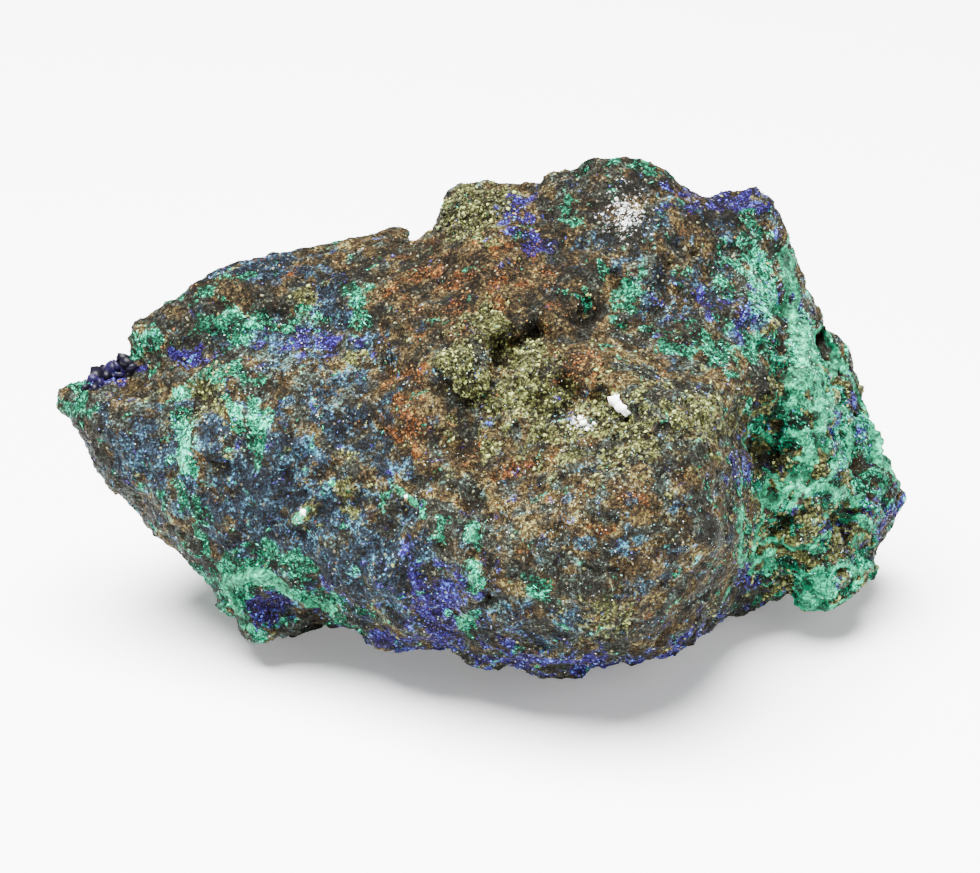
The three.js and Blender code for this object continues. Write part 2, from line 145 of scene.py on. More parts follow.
# Where each mineral shows on the display side. Every row below is a soft oval on the sheet:
# [across, up, half length, half width, turn in degrees, strength].
malachite_patches = [
    [-41.4, 4.0, 1.6, 2.2, 0, 0.9], [-34.2, 9.2, 2.0, 1.2, 30, 0.8],  # nose and the ledge's root
    [-25.5, 11.2, 3.8, 1.3, 0, 1.0], [-18.3, 12.0, 1.8, 1.0, 0, 0.9],  # band over the groove
    [-28.3, 15.0, 2.8, 0.6, 25, 0.9], [-25.8, 13.0, 0.8, 1.3, 0, 0.9], [-13.0, 13.5, 0.9, 2.0, 0, 0.8],
    [-27.0, 6.6, 2.7, 0.9, -10, 1.0], [-25.2, 2.0, 0.8, 2.0, 0, 0.9], [-23.2, 1.0, 0.9, 3.0, 0, 0.9],
    [-30.4, 0.0, 1.3, 5.6, -8, 0.95], [-29.5, -9.0, 1.5, 3.6, 40, 0.85],  # streak down to the lower edge
    [-23.8, -15.3, 4.8, 3.6, -10, 1.2], [-17.4, -16.4, 4.2, 1.5, -28, 1.0],  # crust of the lower left foot
    [14.0, 27.4, 5.5, 1.3, -5, 0.75], [7.7, 22.8, 0.8, 1.4, 0, 0.9], [3.2, 20.1, 0.9, 0.6, 0, 0.8],
    [12.0, 17.5, 1.0, 1.0, 0, 0.9], [9.8, 13.8, 0.9, 0.8, 0, 0.8], [16.0, 19.7, 0.7, 0.6, 0, 0.8],
    [21.8, 20.1, 0.6, 0.8, 0, 0.7], [13.5, 14.5, 1.5, 3.2, 0, 0.75],  # dots of the upper face
    [27.2, 16.0, 3.2, 4.2, 0, 0.95], [26.3, 18.5, 2.4, 2.6, 0, 0.8], [29.8, 14.0, 0.9, 3.2, 0, 0.85],
    [23.5, 9.0, 5.2, 1.3, -8, 0.9],  # under the corner
    [32.2, 8.2, 1.3, 3.9, -10, 0.9], [29.0, 5.0, 1.1, 1.1, 0, 0.9], [33.0, 3.2, 1.2, 1.4, 0, 1.0],
    [38.0, 0.0, 1.1, 3.0, 0, 0.9], [30.5, -2.8, 1.4, 1.4, 0, 1.2], [30.0, -4.8, 1.4, 0.9, 0, 1.1],
    [28.5, -6.2, 1.2, 0.9, 0, 1.0], [32.5, -4.0, 5.5, 9.5, 0, 0.66],  # ribbons of the flank
    [32.8, -15.0, 1.7, 1.9, 0, 1.2], [25.0, -7.5, 0.8, 5.0, 0, 0.55],
    [-1.8, -9.8, 1.2, 1.3, 0, 1.1], [-1.6, -13.4, 1.2, 1.2, 0, 1.1], [4.9, -14.9, 1.0, 1.1, 0, 1.0],
    [-2.2, -18.2, 1.4, 1.2, 0, 1.0], [-7.0, -7.5, 0.8, 3.2, 38, 0.8],  # knobs on the belly
]
azurite_patches = [
    [-38.2, 5.8, 2.4, 1.3, 10, 0.9], [-29.8, 8.5, 1.7, 1.0, 0, 1.2], [-19.2, 9.7, 3.4, 1.0, 0, 1.0],
    [2.5, 22.8, 1.5, 2.3, 0, 1.0], [4.5, 19.2, 1.5, 0.9, 0, 0.9], [25.0, 24.2, 5.2, 1.4, 0, 1.0],
    [29.5, 20.8, 1.1, 1.0, 0, 0.9], [25.2, 13.3, 2.2, 2.8, 0, 0.7], [25.2, -3.2, 0.9, 1.4, 0, 0.9],
    [-5.3, -16.9, 2.8, 3.6, 0, 1.15], [-8.5, -12.8, 3.4, 3.0, 0, 0.5], [-16.0, -15.2, 2.6, 0.7, -20, 1.0],
    [-10.3, -20.0, 2.6, 0.9, -15, 1.2], [-21.9, -16.8, 1.8, 1.4, 0, 1.4], [7.0, -22.2, 8.0, 1.0, 0, 1.1],
    [19.0, -20.4, 4.6, 1.0, 25, 1.0], [27.8, -14.2, 3.2, 1.3, 0, 0.9], [36.0, 1.2, 0.8, 1.9, 0, 1.0],
    [38.5, -7.5, 1.6, 1.6, 0, 1.0], [33.5, -9.0, 2.6, 1.0, 0, 0.9], [35.0, -12.0, 2.5, 2.0, 0, 0.6],
    [27.5, 0.8, 1.8, 0.5, 5, 1.0], [22.0, 14.5, 4.0, 2.0, 20, 0.5], [1.0, -19.5, 3.0, 1.5, 0, 0.6],
    [34.6, -0.5, 3.8, 0.5, -78, 1.1], [30.6, -7.4, 2.6, 0.7, 8, 1.1], [37.2, -9.2, 1.8, 2.4, 0, 0.9],
    [35.6, 4.6, 0.7, 2.0, 20, 1.1], [33.8, -4.2, 1.6, 0.6, 20, 1.0], [26.3, -13.0, 0.7, 2.6, 0, 1.0],
    [28.4, 15.8, 0.8, 1.8, 10, 0.9], [30.6, 13.2, 0.6, 1.6, 15, 1.0], [32.5, -5.0, 5.0, 8.0, 0, 0.42],
]
slate_patches = [
    [-24.0, 17.2, 6.0, 1.5, 0, 1.0], [-21.0, -6.5, 7.5, 6.5, 0, 1.0], [-34.5, -1.5, 3.4, 3.2, 0, 0.9],
    [-11.0, -12.5, 6.0, 4.0, -10, 1.0], [-16.0, 13.0, 2.2, 3.5, 0, 0.9], [20.0, 17.0, 7.0, 6.0, 0, 0.5],
    [16.0, -12.0, 7.0, 6.0, 0, 0.35], [35.0, -8.0, 4.0, 6.0, 0, 0.5], [-14.0, 1.0, 5.0, 6.0, 0, 0.6],
    [-27.0, -1.0, 5.0, 4.0, 0, 0.6], [6.0, -18.5, 6.0, 3.0, 0, 0.5],
    [34.0, 0.5, 4.0, 0.6, -78, 1.2], [-22.0, 10.5, 6.0, 1.6, 0, 1.0], [26.0, 11.6, 2.3, 1.8, 0, 1.0],
]
rust_patches = [
    [-1.5, 15.5, 8.5, 4.5, 0, 0.8], [-3.0, 15.0, 1.4, 1.3, 0, 0.7], [1.8, 15.5, 1.1, 1.7, 0, 0.7],
    [-8.0, 3.0, 2.4, 4.4, 0, 0.9], [8.5, 7.2, 3.2, 2.4, 0, 0.8], [14.0, -14.0, 3.2, 4.2, 0, 0.5],
    [10.0, -8.0, 9.0, 5.0, 0, 0.38],
    [-25.8, 16.2, 0.9, 0.7, 0, 0.9], [-19.8, 16.3, 0.7, 0.7, 0, 0.9], [27.5, 11.0, 1.1, 0.7, 0, 0.8],
    [-8.0, 17.0, 4.0, 2.5, 0, 0.5], [3.0, -2.0, 6.0, 3.0, 0, 0.4], [19.0, 22.0, 3.0, 3.0, 0, 0.4],
]
olive_patches = [
    [-1.8, 22.5, 2.8, 2.6, 0, 1.0], [-2.8, 7.2, 1.6, 2.4, 0, 1.1], [-0.2, 11.2, 1.5, 1.9, 0, 1.1],
    [3.8, 8.0, 1.9, 1.7, 0, 1.1], [3.0, 4.0, 4.2, 2.3, 0, 1.0], [11.0, 1.5, 11.0, 3.5, 0, 0.7],
    [-18.2, 14.5, 1.0, 1.1, 0, 0.9], [-13.8, 7.8, 1.0, 0.9, 0, 1.0], [-28.0, 4.0, 1.9, 2.3, 0, 0.8],
    [26.2, -9.8, 1.0, 1.0, 0, 0.9], [28.8, -13.2, 2.5, 1.4, 0, 0.8], [11.0, -18.0, 2.3, 1.7, 0, 0.8],
    [-18.5, -7.0, 0.8, 0.8, 0, 1.3], [-14.0, -5.0, 1.6, 3.0, -30, 0.6], [21.0, 2.5, 2.5, 2.2, 0, 0.9],
    [30.5, -9.0, 4.5, 4.5, 0, 0.62], [31.0, -2.5, 2.5, 2.0, 0, 0.7],
]
white_patches = [
    [13.6, 22.4, 1.8, 2.0, 0, 0.85], [9.3, 1.6, 1.3, 0.5, 10, 0.9], [-18.7, -7.2, 0.6, 0.6, 0, 0.5],
]
ribbon_patches = [  # smooth green ribbons and knobs, whose grain is too fine to see
    [31.5, 8.5, 3.4, 0.5, -73, 1.1], [32.6, 2.6, 1.2, 0.9, -60, 1.0], [30.8, -3.3, 2.2, 0.65, 48, 1.1],
    [28.2, -6.2, 1.2, 0.5, 15, 1.0], [32.5, -15.2, 1.3, 1.4, 0, 1.1], [38.3, -1.3, 2.2, 0.45, -72, 1.0],
    [29.7, 17.0, 4.8, 0.4, -86, 0.85], [28.8, 13.6, 0.9, 1.0, 0, 0.6], [34.6, -5.6, 1.3, 0.45, -30, 0.9],
    [27.0, -11.6, 2.4, 0.4, 12, 0.9], [35.2, 6.6, 2.6, 0.4, -62, 0.8], [36.4, -10.2, 0.9, 0.4, 30, 0.8],
    [-1.8, -9.8, 0.7, 0.9, 20, 0.6], [-1.6, -13.4, 0.6, 0.5, 0, 0.6], [-18.7, -7.1, 0.7, 0.6, 0, 1.0],
    [-2.4, -18.0, 1.3, 0.5, 50, 0.6], [-23.7, -13.8, 2.6, 0.4, -3, 0.8], [-17.4, -16.2, 3.0, 0.3, -28, 0.6],
    [-25.4, -17.0, 2.0, 0.3, -65, 0.65], [-8.2, -5.8, 0.8, 0.3, -30, 0.8],
]
pit_patches = [  # open pits, from the hollow and the flank to the lower left foot
    [4.6, 10.0, 0.7, 0.6, 0, 1.0], [-4.5, 5.8, 0.6, 1.3, 0, 1.3], [0.9, 8.4, 0.7, 1.0, 20, 1.4],
    [1.6, 6.2, 0.5, 0.9, 0, 1.1], [6.6, 5.6, 1.0, 0.5, 0, 1.1], [-1.9, -6.2, 0.9, 1.0, 0, 1.1],
    [33.4, 9.4, 0.7, 1.7, 5, 2.0], [33.9, 6.8, 0.5, 0.5, 0, 1.6], [31.3, -4.0, 1.1, 0.6, 10, 1.6],
    [35.5, -7.8, 0.9, 1.1, 20, 1.6], [29.5, -8.2, 0.8, 0.7, 0, 1.5], [32.4, -7.6, 1.0, 0.5, -20, 1.4],
    [27.4, -6.0, 0.8, 0.5, 30, 1.2], [30.8, -10.6, 1.2, 0.5, 15, 1.3], [36.8, -3.4, 0.5, 1.1, 10, 1.4],
    [34.0, 0.6, 0.6, 0.8, 0, 1.4], [36.2, 4.2, 0.5, 0.9, 15, 1.3], [-22.0, -17.2, 1.5, 1.4, 0, 1.6],
    [-17.6, -18.0, 1.0, 1.1, 0, 1.3], [-25.4, -18.2, 0.8, 0.9, 0, 1.2], [-0.2, -16.0, 0.5, 2.0, 0, 1.1],
    [-28.6, 3.8, 1.1, 1.2, 0, 1.1], [18.0, 16.0, 0.6, 1.6, 10, 1.0], [-9.0, -8.0, 1.4, 0.5, 50, 0.9],
    [29.3, 12.6, 0.7, 1.2, 0, 1.2], [29.0, 5.6, 0.5, 0.9, 20, 1.0], [27.6, -1.6, 1.4, 0.5, 10, 1.2],
]
lump_patches = [  # knobs that stand out of the hollow, the nose and the belly
    [9.0, 4.4, 1.5, 1.6, 0, 1.3], [2.2, 10.6, 1.8, 1.0, 10, 1.2], [-2.6, 6.8, 1.5, 1.7, 0, 1.0],
    [4.0, 7.5, 1.0, 1.8, -30, 1.0], [-28.0, 3.8, 1.4, 1.5, 0, 0.9], [-18.7, -7.1, 0.7, 0.7, 0, 0.9],
    [-1.8, -9.8, 1.0, 1.1, 0, 0.7], [-1.6, -13.4, 1.0, 1.0, 0, 0.7], [4.9, -14.9, 0.8, 0.9, 0, 0.6],
]
bloom_patches = [  # pale chalky blue and green
    [-22.0, 10.8, 5.0, 1.4, 0, 0.6], [-17.8, 12.0, 1.3, 2.2, 0, 0.7], [-21.0, 7.5, 4.0, 1.0, 0, 0.8],
    [26.6, 17.0, 2.6, 3.8, 0, 0.9], [31.5, 8.5, 3.8, 1.0, -73, 0.8], [34.2, 0.5, 3.8, 0.9, -78, 0.9],
    [30.8, -3.3, 2.4, 0.9, 48, 0.8], [32.0, -9.0, 4.0, 4.5, 0, 0.5], [-30.4, 0.0, 1.3, 4.6, -8, 0.7],
    [-25.0, 2.0, 2.2, 3.0, 0, 0.6], [-38.0, 3.5, 2.5, 2.0, 0, 0.4], [15.0, 17.0, 3.0, 5.0, 0, 0.4],
    [-2.0, 7.2, 2.0, 2.2, 0, 0.5], [20.0, 2.5, 3.0, 1.6, 0, 0.5], [9.0, -8.0, 9.0, 6.0, 0, 0.5],
    [9.0, 2.5, 8.0, 2.5, 0, 0.45],
]
crest_shade_patches = [  # painted shade on the upper faces: the crest, the ledge, the nose and the rusty slope are painted darker
    [12.0, 21.0, 9.0, 5.0, 0, 1.0], [24.0, 22.0, 6.0, 3.0, 0, 0.7], [-24.0, 14.5, 8.0, 3.5, 10, 1.0],
    [-40.0, 3.0, 3.0, 3.0, 0, 0.8], [-1.5, 15.5, 8.0, 4.5, 0, 0.6],
]


def shown(places):
    """1 on the display side, 0 on the back and the underside."""
    last_seen = -17
    fading_from = -11
    return ease(face_on(places)[2], last_seen, fading_from)


def patches(places, listed, stray=1.0):
    """How strongly the listed patches show at each place. Their edges stray from the given ovals."""
    across, up, depth = face_on(places)
    across = across + stray * (0.9 * noise(places, 3.2, 15) + 0.5 * noise(places, 1.3, 16))
    up = up + stray * (0.9 * noise(places, 3.2, 17) + 0.5 * noise(places, 1.3, 18))
    total = np.zeros(len(places))
    for x, y, long, wide, turn, strength in listed:
        cos = math.cos(math.radians(turn))
        sin = math.sin(math.radians(turn))
        dx = across - x
        dy = up - y
        squares = ((dx * cos + dy * sin) / long) ** 2 + ((dy * cos - dx * sin) / wide) ** 2
        total = np.maximum(total, strength * np.exp(-0.5 * squares))
    return total * shown(places)


def boxwork(places):
    """How much there is of the flank's malachite walls, and of the pits between them, at each place.
    Some of the back has them too."""
    across, up, depth = face_on(places)
    flank = ease(across, 25.5, 28) * (1 - ease(up, 10, 14)) * shown(places)
    away = 0.5 * (1 - shown(places)) * ease(layered(places, 12, 45), 0.12, 0.4)
    strays = np.stack([noise(places, 3.4, k) + 0.4 * noise(places, 1.3, k + 5) for k in (46, 47, 48)], 1)
    gap = cobbles(places * [1.15, 1, 1.8] + 1.2 * strays, 3.2, 17)[1]
    small_gap = cobbles(places * [1, 1, 1.3] + 0.7 * strays, 1.6, 18)[1]
    walls = np.maximum(1 - ease(gap, 0.02, 0.26), 0.55 * (1 - ease(small_gap, 0.02, 0.3)))
    open_share = ease(noise(places, 4.5, 44), -0.35, 0.25)
    pits = open_share * np.maximum(ease(gap, 0.25, 0.8), 0.5 * ease(small_gap, 0.25, 0.7))
    return np.maximum(flank, away) * walls, np.maximum(flank, away) * pits


def minerals(places):
    """How strongly each mineral grows at each place, from 0 to about 1, before grain breaks up its edge."""
    away = 1 - shown(places)
    veins = 1 - np.abs(layered(places, 11, 40)) * 2.6
    blotches = layered(places, 9, 50) + 0.35 * layered(places, 3, 55)
    green = np.maximum(ease(veins, 0.35, 0.95), ease(blotches, 0.25, 0.6)) * 0.8
    blue = ease(layered(places, 12, 60) + 0.3 * noise(places, 3, 61), 0.12, 0.5)
    red = ease(layered(places, 14, 70), 0.1, 0.5)
    yellow = ease(layered(places, 10, 80), 0.22, 0.6)
    grey = ease(layered(places, 13, 90), -0.1, 0.4)
    fret_sizes = {"malachite": 2.0, "azurite": 1.7, "slate": 2.6, "rust": 2.0, "olive": 1.8}
    fret = {name: layered(places, size, 20 + k, 4) for k, (name, size) in enumerate(fret_sizes.items())}
    walls, pits = boxwork(places)
    wall_ribbons = 0.9 * walls * ease(noise(places, 3, 49), 0.12, 0.5)
    dips = patches(places, pit_patches, 0.9)
    return {
        "malachite": 0.85 * patches(places, malachite_patches) + away * green + 0.95 * fret["malachite"]
        + 0.4 * walls - 0.5 * pits - 0.7 * dips,
        "azurite": 0.8 * patches(places, azurite_patches) + away * blue * 0.8 + 0.9 * fret["azurite"],
        "slate": 0.9 * patches(places, slate_patches) + away * grey * 0.8 + 0.8 * fret["slate"],
        "rust": 0.8 * patches(places, rust_patches) + away * red * 0.7 + 0.9 * fret["rust"],
        "olive": 0.95 * patches(places, olive_patches) + away * yellow * 0.8 + 0.8 * fret["olive"]
        + 0.35 * pits,
        # The pale chalky bloom, less the crest's patches, whose darker tone is painted shade on the upper
        # faces.
        "bloom_and_crest_shade": patches(places, bloom_patches) - 0.45 * patches(places, crest_shade_patches),
        "pit": np.maximum(dips, 0.45 * pits),
        "white": patches(places, white_patches, 0.5) * (1 + 0.35 * noise(places, 0.9, 25)),
        "ribbon": np.maximum(patches(places, ribbon_patches, 1.1), wall_ribbons),
    }


def points_of(mesh):
    """Places in millimetres and normals of a mesh's points."""
    places = np.empty(len(mesh.vertices) * 3)
    normals = np.empty(len(mesh.vertices) * 3)
    mesh.vertices.foreach_get("co", places)
    mesh.vertex_normals.foreach_get("vector", normals)
    return places.reshape(-1, 3) / MM, normals.reshape(-1, 3)


def put_points(mesh, places):
    """Moves a mesh's points to places in millimetres."""
    mesh.vertices.foreach_set("co", (places * MM).ravel())
    mesh.update()


def reshaped(mesh, name, kind, **settings):
    """The mesh after one modifier with the given settings, as a new mesh."""
    holder = bpy.data.objects.new(name, mesh)
    bpy.context.scene.collection.objects.link(holder)
    modifier = holder.modifiers.new(name, kind)
    for key, value in settings.items():
        setattr(modifier, key, value)
    made = bpy.data.meshes.new_from_object(holder.evaluated_get(bpy.context.evaluated_depsgraph_get()))
    bpy.data.objects.remove(holder)
    return made


def mesh_from(name, places, faces):
    """A new mesh from places in millimetres and faces with equal numbers of corners."""
    mesh = bpy.data.meshes.new(name)
    mesh.vertices.add(len(places))
    mesh.vertices.foreach_set("co", (places * MM).ravel())
    mesh.loops.add(faces.size)
    mesh.loops.foreach_set("vertex_index", faces.ravel())
    mesh.polygons.add(len(faces))
    mesh.polygons.foreach_set("loop_start", np.arange(len(faces)) * faces.shape[1])
    mesh.update(calc_edges=True)
    return mesh


def turned(count, normals, lean, rng):
    """Sets of three axes whose third leans from each normal by a share of a random way."""
    w = normals + lean * rng.normal(size=(count, 3))
    w /= np.linalg.norm(w, axis=1)[:, None]
    u = np.cross(w, rng.normal(size=(count, 3)))
    u /= np.linalg.norm(u, axis=1)[:, None]
    return np.stack([u, np.cross(w, u), w], axis=1)


def many(shape, faces, axes, sizes, middles):
    """Copies of one small shape, each with its own axes, sizes and middle, as places and faces."""
    places = np.einsum("sk,nk,nkc->nsc", shape, sizes, axes) + middles[:, None, :]
    numbers = np.arange(len(middles))[:, None, None] * len(shape) + faces[None, :, :]
    return places.reshape(-1, 3), numbers.reshape(-1, faces.shape[1])


def finder(spots, numbers):
    """A tree that gives the number of the spot nearest to a place."""
    made = KDTree(len(spots))
    for spot, number in zip(spots, numbers):
        made.insert(spot, number)
    made.balance()
    return made


# The solid, refined and roughened. Each height and depth here is in millimetres.
cobble_rise = 0.9
crack_depth = 0.4  # between the cobbles
heave_rise = 0.8
ribbon_rise = 0.45
pit_depth = 0.9
olive_crumb_rise = 0.7
crumple_rise = 0.3
small_hole_depth = 0.3
wall_rise = 0.6
wall_pit_depth = 0.8
lump_rise = 1.0
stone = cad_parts["stone"]
rough = stone.data.copy()
rough.transform(stone.matrix_world)
rough = reshaped(rough, "welded", "WELD", merge_threshold=1e-3 * MM)
rough = reshaped(rough, "rough", "SUBSURF", levels=2, render_levels=2)
places, normals = points_of(rough)
found = minerals(places)
wander = np.stack([noise(places, 3, k) for k in (1, 2, 3)], 1)
near, ridge = cobbles(places + 0.8 * wander, 3.6, 3)
crumbly = 0.25 + 0.75 * ease(found["olive"], 0.3, 0.8)
relief = crumbly * (cobble_rise * (0.55 - near) - crack_depth * (1 - ease(ridge, 0, 0.2)))
relief += heave_rise * layered(places, 5.5, 5, 4)
relief *= 1 - 0.6 * found["ribbon"]
relief += ribbon_rise * found["ribbon"] - pit_depth * found["pit"]
crumbs = 0.5 - cobbles(places + 0.5 * wander, 1.9, 4)[0]
relief += olive_crumb_rise * ease(found["olive"], 0.35, 0.8) * crumbs
relief += crumple_rise * crumpled(places + 0.8 * wander, 3.4, 11)
holes = cobbles(places + 1.1 * wander, 4.2, 9)[0]
relief -= small_hole_depth * (1 - ease(holes, 0.1, 0.42))
walls, pits = boxwork(places)
relief += wall_rise * walls - wall_pit_depth * pits + lump_rise * patches(places, lump_patches, 0.9)
moved = normals * relief[:, None]
places = places + moved
put_points(rough, places)
near_rough = finder(places, range(len(places)))

# Where malachite and olive ore filled cracks, and the softer rock between wore away, thin wavy walls stand
# half a millimetre to a millimetre high. They are closed strips rooted in the rock, and join it below.
wall_shape = np.array([  # a wall's section, in widths and heights, whose foot goes down into the rock
    [-0.5, -1], [-0.5, 0.1], [-0.4, 0.55], [-0.2, 0.9], [0.05, 1.0], [0.28, 0.85], [0.42, 0.5], [0.5, 0.1],
    [0.5, -1],
])
foot_depth = 0.5  # mm, of a wall in the rock
thick_crust = 1.35  # the malachite walls stand this much higher than their listed heights
malachite_walls = [  # width and height in millimetres, then the line that it follows on the sheet
    (1.0, 0.7, [(31.2, 12.0), (30.9, 9.5), (31.3, 7.0), (32.6, 4.0)]),
    (0.45, 1.0, [(32.0, 12.0), (33.2, 11.0), (34.3, 9.5), (34.6, 7.6), (33.2, 5.0)]),
    (0.8, 1.0, [(34.6, -2.3), (33.0, -4.5), (31.0, -5.7), (30.0, -7.0), (28.8, -8.2)]),
    (0.35, 0.8, [(26.6, 1.2), (28.5, -0.2), (30.0, 1.2), (31.8, -0.2)]),
    (0.35, 0.7, [(25.4, -10.6), (28.0, -9.5), (31.0, -10.6), (34.2, -9.4)]),
    (0.4, 0.8, [(26.0, -13.2), (29.0, -12.0), (32.0, -13.6), (35.4, -12.0)]),
    (0.6, 0.7, [(37.6, 4.2), (38.2, 1.0), (38.8, -2.0), (39.2, -5.0)]),
    (0.35, 0.7, [(35.5, 3.2), (36.0, 0.0), (35.5, -3.0), (36.4, -6.2)]),
    (0.35, 0.6, [(26.7, -3.8), (27.1, -7.0), (26.3, -10.0), (25.8, -13.2)]),
    (0.4, 0.7, [(29.8, -5.6), (32.0, -7.2), (34.0, -6.4), (36.0, -8.4)]),
    (0.9, 0.6, [(30.6, -15.4), (32.4, -14.6), (33.8, -16.0), (34.8, -15.0)]),
    (0.35, 0.5, [(29.8, 17.5), (30.6, 14.0), (30.2, 11.0), (29.6, 8.0)]),
    (0.4, 0.6, [(29.0, 6.2), (30.6, 4.6), (32.6, 2.6), (33.6, 0.2), (33.2, -2.0)]),
    (1.0, 0.7, [(-26.5, -14.2), (-24.5, -13.2), (-22.5, -13.2), (-20.6, -14.4)]),
    (0.5, 0.6, [(-26.0, -14.6), (-25.2, -16.5), (-24.0, -19.0)]),
    (0.6, 0.5, [(-20.6, -14.8), (-18.5, -16.0), (-15.6, -16.6)]),
    (0.35, 0.4, [(25.2, -4.0), (24.8, -8.0), (25.0, -12.0), (23.4, -16.2)]),
]
crust_walls = [
    (0.4, 0.4, [(-27.8, 11.8), (-25.0, 11.2), (-22.8, 11.8), (-20.3, 11.0)]),
    (0.35, 0.4, [(-30.9, 5.0), (-30.2, 2.0), (-30.6, -1.0), (-29.2, -4.0), (-29.4, -7.0)]),
    (0.35, 0.4, [(-26.8, 5.6), (-25.6, 3.0), (-25.4, 0.6)]),
    (0.35, 0.4, [(-23.6, 4.0), (-23.0, 1.0), (-23.4, -1.6)]),
]
olive_walls = [
    (0.5, 0.8, [(27.2, -7.8), (29.4, -8.4), (31.6, -8.0), (33.0, -8.8)]),
    (0.5, 0.7, [(26.4, -11.8), (29.4, -10.8), (32.6, -12.2), (35.0, -11.0)]),
    (0.4, 0.7, [(28.4, -2.2), (30.4, -1.6), (32.0, -2.8), (34.0, -1.2)]),
    (0.5, 0.7, [(27.0, -14.6), (29.6, -13.6), (31.4, -14.6)]),
    (0.8, 0.9, [(-3.6, 8.6), (-2.4, 7.0), (-3.2, 5.4), (-1.6, 4.6)]),
    (0.8, 0.9, [(2.6, 9.0), (4.0, 7.6), (4.2, 5.8), (6.0, 4.6)]),
]
normals = points_of(rough)[1]
across, up, depth = face_on(places)
facing = np.flatnonzero(normals @ eye_way > 0.05)
on_sheet = finder(np.c_[across, up, np.zeros(len(across))][facing], facing)


def evened(values, rounds):
    """A row of values, each drawn towards its two neighbours, again and again."""
    values = values.copy()
    for _ in range(rounds):
        values[1:-1] = 0.5 * values[1:-1] + 0.25 * (values[:-2] + values[2:])
    return values


def drawn(corners):
    """The rock's points under a line drawn on the sheet, at every pace along it."""
    pace = 0.22
    corners = np.array(corners)
    lengths = np.concatenate([[0], np.cumsum(np.linalg.norm(np.diff(corners, axis=0), axis=1))])
    steps = np.arange(0, lengths[-1], pace)
    line = evened(np.stack([np.interp(steps, lengths, corners[:, k]) for k in range(2)], 1), 12)
    line += 0.5 * np.stack([noise(np.c_[line, line[:, :1] * 0], 1.5, 70 + k) for k in range(2)], 1)
    return [on_sheet.find((x, y, 0.0))[1] for x, y in line]


def wandered(start, steps):
    """The rock's points on a winding walk over it from a start."""
    pace = 0.24
    bend = 0.35
    spots = [start]
    place = places[start]
    way = dice.normal(size=3)
    for _ in range(steps):
        lift = normals[spots[-1]]
        way = way + bend * dice.normal(size=3)
        way -= lift * (way @ lift)
        way /= np.linalg.norm(way)
        place = place + pace * way
        spots.append(near_rough.find(place)[1])
        place = 0.5 * place + 0.5 * places[spots[-1]]
    return spots


def wall(spots, width, height, seed):
    """A wavy wall on a row of the rock's points: its places, its faces and the line along its middle."""
    line = evened(places[spots], 7)
    lift = evened(normals[spots], 14)
    lift /= np.linalg.norm(lift, axis=1)[:, None]
    along = np.gradient(line, axis=0)
    along /= np.linalg.norm(along, axis=1)[:, None] + 1e-9
    side = np.cross(lift, along)
    side /= np.linalg.norm(side, axis=1)[:, None] + 1e-9
    swell = np.sin(np.pi * np.linspace(0.02, 0.98, len(line))) ** 0.5
    wide = width * (0.4 + 0.6 * swell) * (1 + 0.5 * noise(line, 0.9, seed))
    high = height * swell * (1 + 0.7 * noise(line, 1.1, seed + 1))
    lean = 0.7 * noise(line, 1.6, seed + 2)
    rise = np.where(wall_shape[:, 1] > 0, wall_shape[:, 1] * high[:, None], -foot_depth)
    out = wall_shape[:, 0] * wide[:, None] + lean[:, None] * np.clip(rise, 0, None)
    corners = line[:, None] + side[:, None] * out[..., None] + lift[:, None] * rise[..., None]
    ring = len(wall_shape)
    a = (np.arange(len(line) - 1)[:, None] * ring + np.arange(ring)).ravel()
    b = (np.arange(len(line) - 1)[:, None] * ring + (np.arange(ring) + 1) % ring).ravel()
    cap = np.stack([np.zeros(ring - 2, dtype=int), np.arange(1, ring - 1), np.arange(2, ring)], 1)
    far_cap = cap[:, ::-1] + ring * (len(line) - 1)
    faces = np.concatenate([np.c_[a, a + ring, b + ring], np.c_[a, b + ring, b], cap, far_cap])
    return corners.reshape(-1, 3), faces, line + 0.4 * lift * high[:, None]


# The listed walls come first, then those that wind over the flank and the back wherever walls stand.
standing = boxwork(places - moved)[0] * (0.4 + 0.6 * shown(places)) * ease(places[:, 2], 1.0, 4.0)
likings = [
    ("malachite", 70, standing * ease(found["malachite"], 0.2, 0.8)),
    ("olive", 60, standing * ease(found["olive"], 0.1, 0.7)),
]
rows = [("ribbon", drawn(line), width, thick_crust * height) for width, height, line in malachite_walls]
rows += [("malachite", drawn(line), width, height) for width, height, line in crust_walls]
rows += [("olive", drawn(line), width, height) for width, height, line in olive_walls]
for kind, count, liking in likings:
    for start in dice.choice(len(places), count, p=liking / liking.sum()):
        spots = wandered(start, dice.integers(8, 26))
        width = dice.uniform(0.4, 0.8)
        height = dice.uniform(0.4, 0.9)
        rows.append((kind, spots, width, height))
walls_made = [wall(spots, width, height, 301 + k) for k, (kind, spots, width, height) in enumerate(rows)]
wall_crests = np.concatenate([crest for corners, faces, crest in walls_made])
crest_counts = [len(crest) for corners, faces, crest in walls_made]
wall_reach = np.repeat([0.5 * width + 0.3 for kind, spots, width, height in rows], crest_counts)
wall_kinds = np.repeat([kind for kind, spots, width, height in rows], crest_counts)
near_crest = finder(wall_crests, range(len(wall_crests)))
wall_places = np.concatenate([corners for corners, faces, crest in walls_made])
firsts = np.cumsum([0] + [len(corners) for corners, faces, crest in walls_made])
wall_faces = np.concatenate([made[1] + first for made, first in zip(walls_made, firsts)])


